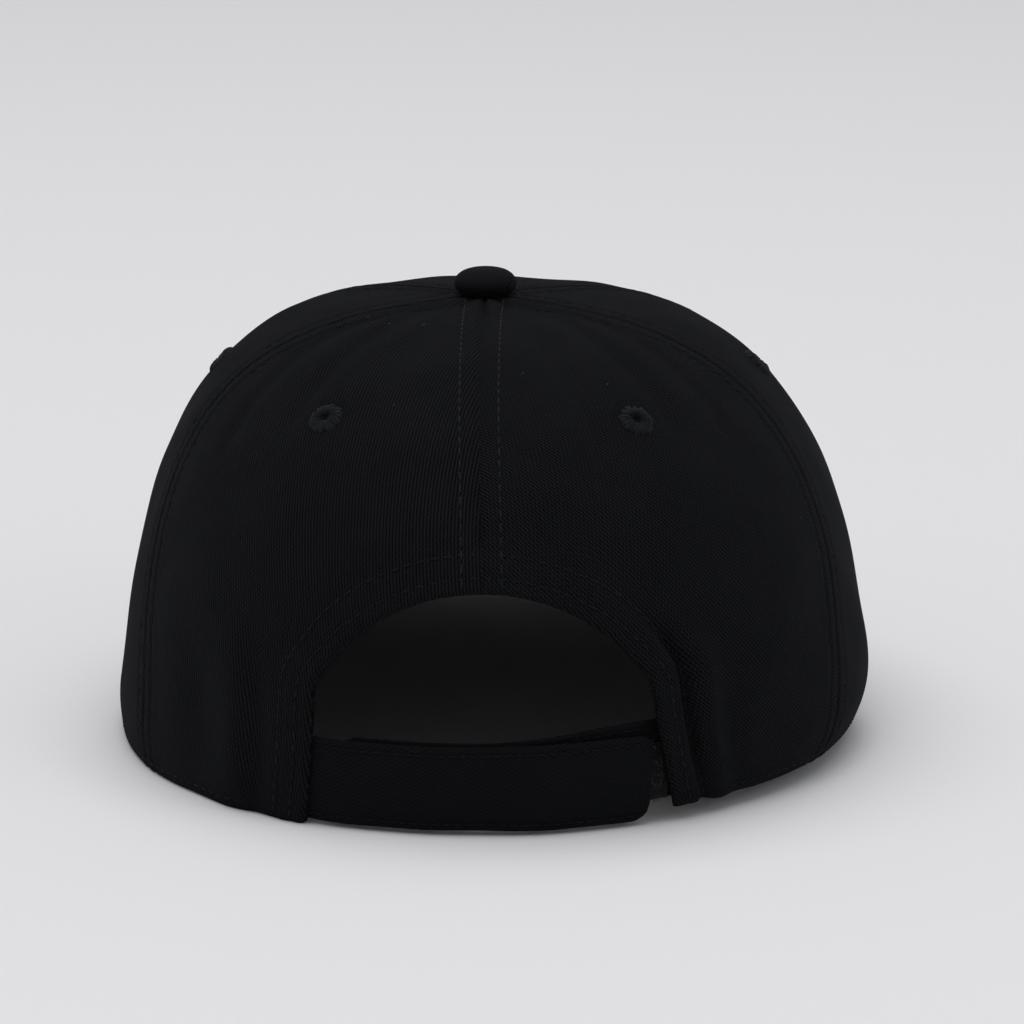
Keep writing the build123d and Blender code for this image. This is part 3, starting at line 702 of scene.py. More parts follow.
    # facing: the same grid's first rows, behind the cloth
    rows = d_arch.max(axis=0) < 12.5
    cut = max(6, int(np.argmin(rows)) if not rows.all() else len(b) - 1)
    sub_p, sub_n, sub_sunk = p[:, :cut], n[:, :cut], sunk[:, :cut, None]
    facing = (flare(lean(sub_p - sub_n * (1.35 + sub_sunk))), flare(lean(sub_p - sub_n * (1.9 + sub_sunk))))
    return piece, facing, weave.reshape(p.shape[0], p.shape[1], 2)[:, :cut]


def outline_stitches(distance, top_extra, sign, low_z=0.6):
    """A line a set distance outside the opening's edge, on one side, from the rim to the top."""
    x, z = arch_outline(60, 120)
    tx, tz = np.gradient(x), np.gradient(z)
    size = np.hypot(tx, tz)
    out = distance + top_extra * smooth((z - 38) / 14)
    ox, oz = x + out * tz / size, z - out * tx / size
    ox[0], ox[-1] = x[0] + out[0], 0
    oz = np.where(np.arange(len(z)) < 3, z, oz)
    keep = oz > low_z
    az = azimuth_at(ox[keep], oz[keep]) * sign
    p, n = surface(az, t_at_height(np.abs(az), oz[keep]))
    return flare(lean(p)), n


panels = [gore(panel) for panel in PANELS]
facings = []
for side in ("left", "right"):
    piece, (f_out, f_in), weave = back_panel(side)
    panels.append(piece)
    facings.append((f_out, f_in, weave))

parts_v, parts_f, parts_w, count = [], [], [], 0
for f_out, f_in, weave in facings:
    v, f = slab(f_out, f_in)
    parts_v.append(v)
    parts_f.append(f + count)
    parts_w.append(np.concatenate([weave.reshape(-1, 2)] * 2))
    count += len(v)
piece = add_piece("arch_binding", np.concatenate(parts_v), np.concatenate(parts_f), "cap", CLOTH_INNER,
                  np.concatenate(parts_w))
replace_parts(piece, "arch_facing")

for seam in (62, -62, 121, -121):
    for offset in (-SEAM_STITCH, SEAM_STITCH):
        stitch_lines.append(seam_line(seam, offset))
centre_low = float(t_at_height(0.0, ARCH_TOP + 1.0))
for seam in (0, 180):
    for offset in (-SEAM_STITCH, SEAM_STITCH):
        centre_lines.append(seam_line(seam, offset, low=centre_low if seam == 0 else 0.004))
for sign in (1, -1):
    hem_lines.append(outline_stitches(EDGE_STITCH, 0.0, sign))
    hem_lines.append(outline_stitches(HEM_STITCH, 1.0, sign))


def rim_line(first, last, up):
    az = np.linspace(first, last, 400)
    p, n = surface(az, up / length_of(az))
    return flare(lean(p)), n


for sign in (1, -1):
    stitch_lines.append(rim_line(34 * sign, 180 * sign, RIM_STITCH))


def crown_skin():
    """The finished panels as one surface that threads are laid on."""
    verts, faces = [], []
    for panel in panels:
        base = len(verts)
        verts += [v.co[:] for v in panel.data.vertices]
        faces += [[base + i for i in face.vertices] for face in panel.data.polygons]
    return BVHTree.FromPolygons(verts, faces)


SKIN = crown_skin()


def laid(line, reach=5.0):
    """A line dropped onto the outside of the crown."""
    points, normals = line
    out = []
    for p, n in zip(points, normals):
        hit = SKIN.ray_cast(Vector((p + n * reach) * MM), Vector(-n), 2 * reach * MM)[0]
        out.append(p if hit is None else np.array(hit) / MM)
    return np.array(out), normals


def sew(name, lines, material=THREAD):
    """Threads laid on the crown along lines."""
    verts, faces = stitch_mesh([laid(line) for line in lines])
    add_piece(name, verts, faces, "cap", material, sharp=None, recalc=False)


sew("hem_topstitch", hem_lines)
sew("crown_topstitch", stitch_lines)
# the centre seams' stitching uses the lighter thread, painted light where the top is lit from above
sew("centre_topstitch", centre_lines, THREAD_LIT)

# ------------------------------------------------------------------ worked eyelets
def eyelet(name):
    az0, t0 = EYELETS[name]
    threads, per = 31, 8
    turns = threads * per
    theta = np.linspace(0, 2 * pi, turns, endpoint=False)
    wobble = 0.26 * np.repeat(rng.normal(0, 1, threads), per)
    profile = np.array([(0.75, -1.6), (0.85, -0.7), (1.05, -0.05), (1.4, 0.42), (1.9, 0.66), (2.5, 0.72), (3.1, 0.60),
                        (3.7, 0.40), (4.2, 0.10), (4.4, -0.35)])
    r = profile[:, 0][:, None] + wobble[None] * np.linspace(0, 1, 10)[:, None] ** 2
    ridge = np.abs(np.sin(theta * threads / 2)) ** 0.6
    height = np.repeat(rng.normal(0, 0.10, threads), per)
    z = profile[:, 1][:, None] + ((ridge - 0.6) * 0.42 + height)[None] * np.array([0, 0.3, 0.7, 1, 1, 1, 1, 1, 0.8, 0.3])[:, None]
    slant = 0.10 * np.linspace(-1, 1, 10)[:, None]
    x, y = r * np.cos(theta + slant), r * np.sin(theta + slant)
    # turn millimetres in the tangent plane into azimuth and height
    centre, normal = surface(az0, t0)
    by_az = (surface(az0 + 0.5, t0)[0] - surface(az0 - 0.5, t0)[0])
    by_t = (surface(az0, t0 + 0.005)[0] - surface(az0, t0 - 0.005)[0]) / 0.01
    level = np.cross(normal, [0, 0, 1])
    level /= np.linalg.norm(level)
    steep = np.cross(level, normal)
    turn = np.linalg.inv([[by_az @ level, by_t @ level], [by_az @ steep, by_t @ steep]])
    az = az0 + turn[0, 0] * x + turn[0, 1] * y
    t = t0 + turn[1, 0] * x + turn[1, 1] * y
    p, n = surface(az, t)
    rings = lean(p + n * z[..., None])
    back = lean(p[::-1] - n[::-1] * (1.35 + 0.25 * bump(r[::-1], 2.6, 1.2))[..., None])
    rings = np.concatenate([rings, back])
    rings = np.concatenate([rings, rings[:1]])
    v, f = tube(rings, closed_ends=False)
    piece = add_piece(f"worked_eyelet_{name}", v, f, "cap", EYELET_THREAD, sharp=None)
    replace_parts(piece, f"eyelet_{name}")


for name in EYELETS:
    eyelet(name)

# ------------------------------------------------------------------ button
def covered_button():
    theta = np.linspace(0, 2 * pi, 120, endpoint=False)
    base = HEIGHT + 0.1
    prof = np.array([(0.6, 6.6), (2.4, 6.55), (4.2, 6.3), (5.8, 5.75), (7.0, 4.9), (7.7, 3.9), (7.9, 2.9), (7.7, 1.9),
                     (7.2, 1.1), (6.6, 0.4), (5.6, -0.3), (3.0, -0.6)])
    fine = np.linspace(0, 11, 56)
    r = np.interp(fine, np.arange(12), prof[:, 0])
    z = np.interp(fine, np.arange(12), prof[:, 1])
    for _ in range(3):
        r[1:-1] = (r[:-2] + 2 * r[1:-1] + r[2:]) / 4
        z[1:-1] = (z[:-2] + 2 * z[1:-1] + z[2:]) / 4
    gather = 0.16 * smooth((r - 5.8) / 1.6) * smooth((4 - z) / 3)
    wave = np.sin(theta * 17 + 0.6) * 0.6 + np.sin(theta * 29 + 1.9) * 0.4
    rr = r[:, None] + gather[:, None] * wave[None]
    zz = z[:, None] - 0.1 * (np.cos(theta - 1.1))[None] * (r[:, None] / 7.8)
    rings = np.stack([rr * np.cos(theta), rr * np.sin(theta), base + zz], -1)
    v, f = tube(rings)
    w = np.concatenate([rings[..., :2].reshape(-1, 2) * [1.05, 1.05], [[0, 0], [0, 0]]]) * 1.5
    w[:, 1] += np.concatenate([np.repeat(-z * 0.6, 120), [0, 0]])
    piece = add_piece("covered_button", lean(v), f, "cap", CLOTH_BUTTON, w, sharp=None)
    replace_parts(piece, "button_cover")


covered_button()

# ------------------------------------------------------------------ straps
def strap_wave(x, root):
    """How far the worn straps stand in or out along their length, nothing where they are sewn down."""
    return (0.28 * np.sin(x / 9.0 + 1) + 0.18 * np.sin(x / 4.1 + 2)) * smooth(np.abs(x - root) / 20)


def strap(name, x_from, x_to, low, high, depth, thick, material, nodes, seed):
    """A flat sewn strap following the rim: round-cornered at its free end, rolled at its long edges."""
    length = abs(x_to - x_from)
    n = int(length / 0.55)
    u = np.linspace(0, 1, n)
    x = x_from + (x_to - x_from) * u
    left = (1 - u) * length
    corner = 4.2
    inset = np.where(left < corner, corner - np.sqrt(np.clip(corner**2 - (corner - left) ** 2, 0, None)), 0.0)
    low_z, high_z = low(x) + inset, high(x) - inset
    mid, half = (low_z + high_z) / 2, (high_z - low_z) / 2
    k = 64
    theta = np.linspace(0, 2 * pi, k, endpoint=False)
    cv = np.sign(np.cos(theta)) * np.abs(np.cos(theta)) ** 0.42
    cw = np.sign(np.sin(theta)) * np.abs(np.sin(theta)) ** 0.75
    end = np.clip(left / 0.9, 0, 1)
    end = np.sqrt(1 - (1 - end) ** 2)
    z = mid[:, None] + half[:, None] * cv[None]
    from_edge = half[:, None] * (1 - np.abs(cv[None]))
    run = np.abs(x - x_from)[:, None]
    dip = 0.16 * bump(from_edge, 2.1, 0.5) + 0.12 * bump(np.minimum(left, 9)[:, None], 2.1, 0.5)
    swell = 0.10 * bump(from_edge, 1.0, 0.6) + 0.05 * pucker(run + 9 * seed, seed) * bump(from_edge, 1.8, 1.6)
    w = thick / 2 * cw[None] * (0.25 + 0.75 * end[:, None]) * (1 + swell) - np.sign(cw[None]) * dip
    wave = strap_wave(x, x_from)
    xx = np.broadcast_to(x[:, None], z.shape)
    az = azimuth_at(xx, np.maximum(z, 0.2))
    p, nn = surface(az, t_at_height(az, np.maximum(z, 0.2)))
    p[..., 2] = z
    rings = sway(p - nn * (depth + wave[:, None] - w)[..., None])
    v, f = tube(rings)
    weave = np.stack([xx, z], -1).reshape(-1, 2)
    weave = np.concatenate([weave, weave[:1], weave[-1:]])
    piece = add_piece(name, v, f, None, material, weave, sharp=None)
    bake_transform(piece)
    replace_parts(piece, *nodes)
    # topstitch round the outer face
    lines = []
    for share in (0.0, 1.0):
        keep = left > 3.0
        zz = np.where(share > 0.5, high_z - 2.1, low_z + 2.1)[keep]
        aa = azimuth_at(x[keep], zz)
        q, qn = surface(aa, t_at_height(aa, zz))
        q[..., 2] = zz
        off = depth + wave[keep] - thick / 2 + 0.10
        lines.append((sway(q - qn * off[:, None]), qn))
    zz = np.linspace(low_z[left > 2.3][-1] + 2.4, high_z[left > 2.3][-1] - 2.4, 40)
    xe = np.full(40, x[left > 2.2][-1])
    aa = azimuth_at(xe, zz)
    q, qn = surface(aa, t_at_height(aa, zz))
    q[..., 2] = zz
    last = wave[left > 2.2][-1]
    lines.append((sway(q - qn * (depth + last - thick / 2 + 0.10)), qn))
    v, f = stitch_mesh(lines, length=2.0, gap=0.6, radius=0.2, sink=0.3)
    threads = add_piece(f"{name}_stitches", v, f, None, THREAD_DARK, sharp=None, recalc=False)
    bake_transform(threads)


OUTER_ROOT, INNER_ROOT = 48.5, -52.0
HINGE_RIGHT = ((-0.0420, 0.0920, 0.0116), (-0.0375, 0.0930, 0.0116))
strap("rear_strap_outer", OUTER_ROOT, -42.6, lambda x: 0.35 + 0 * x, lambda x: 22.3 + 0.8 * smooth((20 - x) / 60), 2.5, 1.5,
      CLOTH_STRAP, ("outer_strap", "outer_strap_anchor"), 1)
strap("rear_strap_inner", INNER_ROOT, 35.0, lambda x: 1.2 + 3.4 * smooth((-x - 36) / 9), lambda x: 22.8 + 3.4 * smooth((2 - x) / 44), 4.75, 0.9,
      CLOTH_STRAP, ("inner_strap", "inner_strap_anchor"), 2)


def patch_grid(x0, x1, z0, z1, depth, step, root):
    xs, zs = np.arange(x0, x1, step), np.arange(z0, z1, step)
    xx, zz = np.meshgrid(xs, zs, indexing="ij")
    az = azimuth_at(xx, zz)
    p, n = surface(az, t_at_height(az, zz))
    p[..., 2] = zz
    return p - n * (depth + strap_wave(xx, root))[..., None], n


def pile(x0, x1, z0, z1, depths, loops, root):
    """Loops, or the hooks that catch them, as bent filaments standing on a tape."""
    out, depth, step = (1, depths[0], 0.95) if loops else (-1, depths[1], 1.15)
    roots, rn = patch_grid(x0 + 0.5, x1 - 0.5, z0 + 0.5, z1 - 0.5, depth, step, root)
    roots, rn = roots.reshape(-1, 3), rn.reshape(-1, 3)
    m = len(roots)
    roots = roots + rng.normal(0, 0.25, (m, 3)) * [1, 0, 1]
    turn = rng.uniform(0, pi, m) if loops else np.zeros(m)
    flat = np.stack([np.cos(turn), np.zeros(m), np.sin(turn)], -1)
    size, rise, sweep, radius = (0.48, 0.75, pi, 0.075) if loops else (0.30, 0.42, 0.8 * pi, 0.10)
    tall = rng.uniform(0.75, 1.25, (m, 1))
    line = np.stack([roots + flat * cos(a) * size + out * rn * sin(a) * rise * tall for a in np.linspace(0, sweep, 5)], 1)
    width = np.cross(flat, rn)
    width /= np.linalg.norm(width, axis=1, keepdims=True)
    return filaments(line, width, rn, radius)


def filaments(line, width, depth, radius):
    """Square threads along lines of points, closed at both ends."""
    m, count = line.shape[:2]
    a, b = width[:, None] * radius, depth[:, None] * radius
    ring = np.stack([line + a, line + b, line - a, line - b], 2)
    ids = np.arange(m * count * 4).reshape(m, count, 4)
    nxt = np.roll(ids, -1, axis=2)
    sides = np.stack([ids[:, :-1], ids[:, 1:], nxt[:, 1:], nxt[:, :-1]], -1).reshape(-1, 4)
    return ring.reshape(-1, 3), np.concatenate([sides, ids[:, 0, ::-1], ids[:, -1]])


def rear_patch(name, x0, x1, z0, z1, depths, material, node, body, blend=None):
    """A strip of hook or loop tape on a strap, with its pile or hooks standing on it."""
    loops = node == "loop_patch"
    root = INNER_ROOT if loops else OUTER_ROOT
    top, n = patch_grid(x0, x1, z0, z1, 0.0, 0.8, root)
    lumps = 0.06 * np.sin(top[..., 0] * 2.1) * np.sin(top[..., 2] * 2.3)
    outer, inner = sway(top - n * (depths[0] + lumps)[..., None]), sway(top - n * depths[1])
    verts, faces = slab(outer, inner)
    hairs, hair_faces = pile(x0, x1, z0, z1, depths, loops, root)
    faces = np.concatenate([faces, hair_faces + len(verts)])
    verts = np.concatenate([verts, sway(hairs)])
    piece = add_piece(name, verts, faces, body if blend is None else None, material, sharp=None)
    if blend:
        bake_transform(piece)
    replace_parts(piece, node)


rear_patch("loop_tape", -47.5, 28.5, 5.0, 20.6, (3.75, 4.3), LOOPS, "loop_patch", "inner_strap", HINGE_RIGHT)
rear_patch("hook_tape", -38.5, 5.0, 2.6, 20.6, (3.15, 3.5), HOOKS, "hook_patch", "outer_strap")

# ------------------------------------------------------------------ brim
BRIM_OUTLINE = np.array([(86.6, -45), (88.9, -62), (88, -90), (80, -125), (58, -157), (30, -172), (0, -177)], float)


def spline(points, count):
    """A Catmull-Rom curve through points, evenly spaced."""
    pts = np.concatenate([[2 * points[0] - points[1]], points, [2 * points[-1] - points[-2]]])
    out = []
    for i in range(1, len(pts) - 2):
        t = np.linspace(0, 1, 60, endpoint=i == len(pts) - 3)[:, None]
        a, b, c, d = pts[i - 1], pts[i], pts[i + 1], pts[i + 2]
        out.append(0.5 * (2 * b + (c - a) * t + (2 * a - 5 * b + 4 * c - d) * t**2 + (3 * b - a - 3 * c + d) * t**3))
    line = np.concatenate(out)
    for _ in range(30):
        line[1:-1] = (line[:-2] + 2 * line[1:-1] + line[2:]) / 4
    s = np.concatenate([[0], np.cumsum(np.linalg.norm(np.diff(line, axis=0), axis=1))])
    share = np.linspace(0, s[-1], count)
    return np.stack([np.interp(share, s, line[:, k]) for k in range(line.shape[1])], -1)


def brim():
    whole = np.concatenate([BRIM_OUTLINE, BRIM_OUTLINE[-2::-1] * [-1, 1]])
    cols = 340
    edge = spline(whole, cols)
    fine_edge = spline(whole, 2000)
    az = np.linspace(BRIM_START + 0.3, 360 - BRIM_START - 0.3, cols)
    az = np.where(az > 180, az - 360, az)
    foot = dome(az, lift_at_height(az, 22.0))[:, :2]
    foot = foot * (1 - 0.6 / np.linalg.norm(foot, axis=1, keepdims=True))
    s = spaced([(0, 0), (0.93, 96), (1, 12)])
    xy = foot[None] * (1 - s[:, None, None]) + edge[None] * s[:, None, None]
    d_edge = np.stack([np.sqrt(((row[:, None] - fine_edge) ** 2).sum(-1)).min(-1) for row in xy])
    rows = [2.6] + [9.0 + 7.2 * k for k in range(8)]
    relief = sum(-0.30 * bump(d_edge, d, 0.75) for d in rows) + 0.12 * np.sin(d_edge * 2 * pi / 7.2 + 1.2) * smooth((d_edge - 8) / 4)
    round_off = 1.15 * (1 - np.sqrt(np.clip(1 - (1 - np.clip(d_edge / 1.5, 0, 1)) ** 2, 0, 1)))
    top = brim_top(xy[..., 0], xy[..., 1]) + relief - round_off
    under = brim_top(xy[..., 0], xy[..., 1]) - BRIM_THICK - relief * 0.8 + round_off
    outer = np.concatenate([xy, top[..., None]], -1)
    inner = np.concatenate([xy, np.maximum(under, 0.05)[..., None]], -1)
    verts, faces = slab(outer, inner)
    wrap = 1.6 * round_off
    upper = np.stack([xy[..., 0], xy[..., 1] - wrap], -1).reshape(-1, 2)
    lower = np.stack([xy[..., 0], xy[..., 1] - 2 * wrap.max() - 1.1 + wrap], -1).reshape(-1, 2)
    weave = np.concatenate([upper, lower])
    piece = add_piece("brim_cloth", verts, faces, "cap", CLOTH_BRIM, weave)
    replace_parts(piece, "brim_upper_cloth", "brim_lower_cloth")
    lines = []
    tangent = np.gradient(edge, axis=0)
    inward = np.stack([tangent[:, 1], -tangent[:, 0]], -1)
    inward /= np.linalg.norm(inward, axis=1, keepdims=True)
    inward *= np.sign((inward * (np.array([0, -60]) - edge)).sum(1, keepdims=True))
    for d in rows:
        q = edge + inward * d
        clear = (np.sqrt(((q[:, None] - edge[None, ::2]) ** 2).sum(-1)).min(1) > d - 0.25)
        foot_r = np.linalg.norm(q, axis=1)
        q_az = np.degrees(np.arctan2(q[:, 0], q[:, 1]))
        body_r = np.linalg.norm(dome(q_az, lift_at_height(q_az, 20.0))[:, :2], axis=1)
        q = q[clear & (foot_r > body_r + 1.0)]
        if len(q) < 12:
            continue
        z = brim_top(q[:, 0], q[:, 1])
        for height, flip in ((z - 0.18, 1), (z - BRIM_THICK + 0.16, -1)):
            nx = q[:, 0] / BRIM_RADIUS
            normal = np.stack([nx, np.full(len(q), -BRIM_SLOPE), np.ones(len(q))], -1) * flip
            normal /= np.linalg.norm(normal, axis=1, keepdims=True)
            lines.append((np.stack([q[:, 0], q[:, 1], height], -1), normal))
    v, f = stitch_mesh(lines, length=2.6, gap=0.8)
    v[:, 2] = np.maximum(v[:, 2], 0.02)
    add_piece("brim_topstitch", v, f, "cap", THREAD, sharp=None, recalc=False)


brim()

# ------------------------------------------------------------------ linings and sweatband
def lining_strip(name, node, seam, low, top_radius=14.0, width=6.0):
    t = np.linspace(low, 0.93, 150)
    w = np.linspace(-1, 1, 13)
    tt, ww = np.meshgrid(t, w, indexing="ij")
    az0 = seam_azimuth(seam, tt)
    az = shifted(az0, tt, ww * width)
    p, n = surface((az + 180) % 360 - 180, tt)
    ridge = 0.25 * bump(np.abs(ww), 0, 0.25)
    outer, inner = lean(p - n * 2.0), lean(p - n * (2.4 + ridge)[..., None])
    v, f = slab(outer, inner)
    weave = np.stack([ww * width, tt * 160], -1).reshape(-1, 2)
    piece = add_piece(name, v, f, "cap", CLOTH_INNER, np.concatenate([weave, weave]))
    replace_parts(piece, node)
    for edge in (2, 10):
        inside_lines.append((inner[:, edge], -n[:, edge]))


def height_share(seam, z):
    return float(t_at_height(float(seam), float(rim_height(seam)) + z))


for node, seam in (("centre_front", 180), ("back_left", 62), ("back_right", -62), ("front_left", 121), ("front_right", -121)):
    lining_strip(f"tape_{node}", f"seam_tape_{node}", seam, height_share(seam, 34.0))
lining_strip("tape_centre_back", "seam_tape_centre_back", 0, float(t_at_height(0.0, ARCH_TOP + 11)))
v, f = stitch_mesh(inside_lines, length=2.2, gap=0.9, radius=0.18)
add_piece("tape_stitches", v, f, "cap", THREAD, sharp=None, recalc=False)

for side, sign in (("left", 1), ("right", -1)):
    w, t = np.linspace(0.07, 0.93, 34), np.linspace(0.26, 0.86, 60)
    tt, ww = np.meshgrid(t, w, indexing="ij")
    az = (121 + 59 * ww) * sign
    p, n = surface(az, tt)
    v, f = slab(lean(p - n * 1.3), lean(p - n * 1.7))
    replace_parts(add_piece(f"stiffener_{side}", v, f, "cap", BUCKRAM), f"buckram_{side}")


def sweatband():
    az = np.linspace(34.5, 325.5, 460)
    az = np.where(az > 180, az - 360, az)
    k = 52
    theta = np.linspace(0, 2 * pi, k, endpoint=False)
    cv = np.sign(np.cos(theta)) * np.abs(np.cos(theta)) ** 0.5
    cw = np.sign(np.sin(theta)) * np.abs(np.sin(theta)) ** 0.8
    low = rim_height(az) + 0.7
    z = low[:, None] + 15.6 * (1 + cv[None])
    t = t_at_height(az[:, None], z)
    p, n = surface(np.broadcast_to(az[:, None], z.shape), t)
    s = np.radians(np.linspace(34.5, 325.5, 460)) * 100
    from_edge = 15.6 * (1 - np.abs(cv))[None]
    crown = 0.5 * (1 - np.abs(cv[None]) ** 2) * (cw[None] < 0)
    dip = 0.5 * bump(from_edge, 3.0, 0.7) * (cw[None] < 0)
    gather = 0.16 * np.sin(s[:, None] / 2.3) * bump(from_edge, 3.4, 2.2) * (cw[None] < 0)
    depth = 3.2 - 1.55 * cw[None] + crown - dip + gather
    rings = lean(p - n * depth[..., None])
    v, f = tube(rings)
    weave = np.stack([np.broadcast_to(s[:, None], z.shape), z], -1).reshape(-1, 2)
    weave = np.concatenate([weave, weave[:1], weave[-1:]])
    piece = add_piece("sweatband", v, f, "cap", CLOTH_INNER, weave, sharp=None)
    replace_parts(piece, "sweatband_cover", "sweatband_foam")
    lines = []
    for up in (3.2, 28.0):
        zz = low + up
        q, qn = surface(az, t_at_height(az, zz))
        lines.append((lean(q - qn * 4.55), -qn))
    v, f = stitch_mesh(lines, length=2.8, gap=1.0, radius=0.2)
    add_piece("sweatband_stitches", v, f, "cap", THREAD, sharp=None, recalc=False)


sweatband()

# ------------------------------------------------------------------ insert pads and coins
def shell_surface(azimuth, lift):
    return with_normals(azimuth, lift, lambda a, l: dome(a, l, SHELL_SIZE, 0.0))


def rounded_pad(name, az0, az1, z0, z1, node):
    """A foam pad on the inside of the shell, its free face crowned and its border rolled over."""
    w, q = np.linspace(-1, 1, 60), np.linspace(-1, 1, 44)
    qq, ww = np.meshgrid(q, w, indexing="ij")
    corner = 0.16
    inset = 1 - corner * np.clip((np.abs(qq) - 0.72) / 0.28, 0, 1) ** 2.4
    az = (az0 + az1) / 2 + (az1 - az0) / 2 * ww * inset
    z = (z0 + z1) / 2 + (z1 - z0) / 2 * qq * (1 - corner * 0.6 * np.clip((np.abs(ww) - 0.75) / 0.25, 0, 1) ** 2.4)
    p, n = shell_surface(az, lift_at_height(az, z, SHELL_SIZE))
    edge = np.minimum(1 - np.abs(qq), 1 - np.abs(ww))
    roll = np.sqrt(np.clip(1 - (1 - np.clip(edge / 0.16, 0, 1)) ** 2, 0, 1))
    depth = 3.2 + 4.3 * roll + 0.35 * (1 - qq**2) * (1 - ww**2)
    v, f = slab(p - n * 2.7, p - n * depth[..., None])
    piece = add_piece(name, v, f, "insert", FOAM, sharp=50)
    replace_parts(piece, node)


rounded_pad("forehead_pad", 147, 213, 51, 88, "front_pad")
for side, sign in (("left", 1), ("right", -1)):
    rounded_pad(f"temple_pad_{side}", sign * 78, sign * 128, 46, 82, f"side_pad_{side}")
    rounded_pad(f"nape_pad_{side}", sign * 38, sign * 62, 36, 80, f"rear_pad_{side}")


def dome_lift_at_radius(azimuth, radius):
    width, rear, front, _, extra = SHELL_SIZE
    s, c = np.sin(np.radians(azimuth)), np.cos(np.radians(azimuth))
    plan = 1 / np.sqrt((s / width) ** 2 + (c / np.where(c > 0, rear, front)) ** 2)
    out = s * s * SIDE_POWERS[0] + c * c * np.where(c > 0, REAR_POWERS[0], FRONT_POWERS[0]) + extra
    return np.arccos(np.clip(radius / plan, 0, 1) ** (out / 2))


def petal_pad():
    """The crown pad: a collar with six petals."""
    turns = 6 * 30
    th = np.linspace(0, 360, turns + 1)
    r = spaced([(11, 0), (20, 8), (47, 24), (50, 5)])
    rr, az = np.meshgrid(r, th, indexing="ij")
    p, n = shell_surface(az, dome_lift_at_radius(az, rr))
    middle = (th[:-1] + th[1:]) / 2
    to_slit = np.abs((middle + 0) % 60 - 30)
    rmid = (r[:-1] + r[1:]) / 2
    mask = ~((rmid[:, None] > 20) & (np.radians(to_slit)[None] * rmid[:, None] < 2.4))
    arc = np.abs((az % 60) - 30)
    from_slit = np.radians(arc) * rr - 2.4
    edge = np.minimum(np.minimum(rr - 11, 50 - rr), np.where(rr > 20, from_slit, 9))
    roll = np.sqrt(np.clip(1 - (1 - np.clip(edge / 3.0, 0, 1)) ** 2, 0, 1))
    v, f = slab(p - n * 2.7, p - n * (3.6 + 4.2 * roll)[..., None], mask)
    piece = add_piece("crown_petal_pad", v, f, "insert", FOAM, sharp=50)
    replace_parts(piece, "crown_pad")


petal_pad()


def coin(name, node, centre_x, fn, depths, body, material, size):
    th, r = np.linspace(0, 2 * pi, 49), np.linspace(0.2, 11.0, 14)
    rr, tt = np.meshgrid(r, th, indexing="ij")
    x, y = centre_x + rr * np.cos(tt), rr * np.sin(tt)
    az = np.degrees(np.arctan2(x, y))
    radius = np.hypot(x, y)
    width, rear, front, _, extra = size
    s, c = np.sin(np.radians(az)), np.cos(np.radians(az))
    plan = 1 / np.sqrt((s / width) ** 2 + (c / np.where(c > 0, rear, front)) ** 2)
    out = s * s * SIDE_POWERS[0] + c * c * np.where(c > 0, REAR_POWERS[0], FRONT_POWERS[0]) + extra
    p, n = with_normals(az, np.arccos(np.clip(radius / plan, 0, 1) ** (out / 2)), fn)
    v, f = slab(p - n * depths[0], p - n * depths[1])
    if body == "cap":
        v = lean(v)
    piece = add_piece(name, v, f, body, material, sharp=40)
    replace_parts(piece, node)


CROWN_SIZE = (HALF_WIDTH, HALF_REAR, HALF_FRONT, HEIGHT, 0.0)
for side, sign in (("left", 1), ("right", -1)):
    coin(f"loop_disc_{side}", f"loop_coin_{side}", 46 * sign, lambda a, l: dome(a, l), (2.55, 3.3), "cap", LOOPS, CROWN_SIZE)
    coin(f"hook_disc_{side}", f"hook_coin_{side}", 46 * sign, lambda a, l: dome(a, l, SHELL_SIZE, 0.0), (-0.9, -0.12),
         "insert", HOOKS, SHELL_SIZE)

# ------------------------------------------------------------------ lint
def lint(count=13):
    az, t = rng.uniform(-75, 75, count), rng.uniform(0.1, 0.9, count)
    keep = ~((np.abs(az) < 28) & (t < 0.42))
    az, t = az[keep], t[keep]
    p, n = surface(az, t)
    m = len(az)
    turn = rng.uniform(0, 2 * pi, m)
    up = np.cross(np.stack([np.sin(np.radians(az)) * 0 + 1, np.zeros(m), np.zeros(m)], -1), n)
    side = np.cross(n, up)
    flat = up * np.sin(turn)[:, None] + side * np.cos(turn)[:, None]
    bend = np.cross(n, flat)
    length = rng.uniform(0.15, 0.5, m)[:, None]
    line = np.stack([p + flat * length * k + bend * length * 0.5 * (1 - k * k) + n * (0.40 - 0.2 * k * k)
                     for k in np.linspace(-1, 1, 6)], 1)
    verts, faces = filaments(line, bend, n, 0.035)
    add_piece("lint_fibres", lean(verts), faces, "cap", LINT, sharp=None)


lint()


def strap_fuzz(count=16):
    """Long fibres pulled out of the loop tape where the strap ends."""
    x, z = rng.uniform(-45.5, -41.5, count), rng.uniform(5, 22, count)
    az = azimuth_at(x, z)
    p, n = surface(az, t_at_height(az, z))
    p[..., 2] = z
    turn = rng.uniform(0, 2 * pi, count)
    flat = np.stack([np.cos(turn), np.zeros(count), np.sin(turn)], -1)
    bend = np.stack([-np.sin(turn), np.zeros(count), np.cos(turn)], -1)
    length, curl = rng.uniform(0.5, 1.5, (count, 1)), rng.normal(0, 0.8, (count, 1))
    line = np.stack([p + flat * length * k + bend * curl * (1 - k * k) - n * (3.5 + strap_wave(x, INNER_ROOT)[:, None] - 1.2 * (1 - k * k))
                     for k in np.linspace(-1, 1, 8)], 1)
    verts, faces = filaments(line, bend, n, 0.025)
    piece = add_piece("loop_fibres", sway(verts), faces, None, LINT, sharp=None)
    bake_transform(piece)


strap_fuzz()

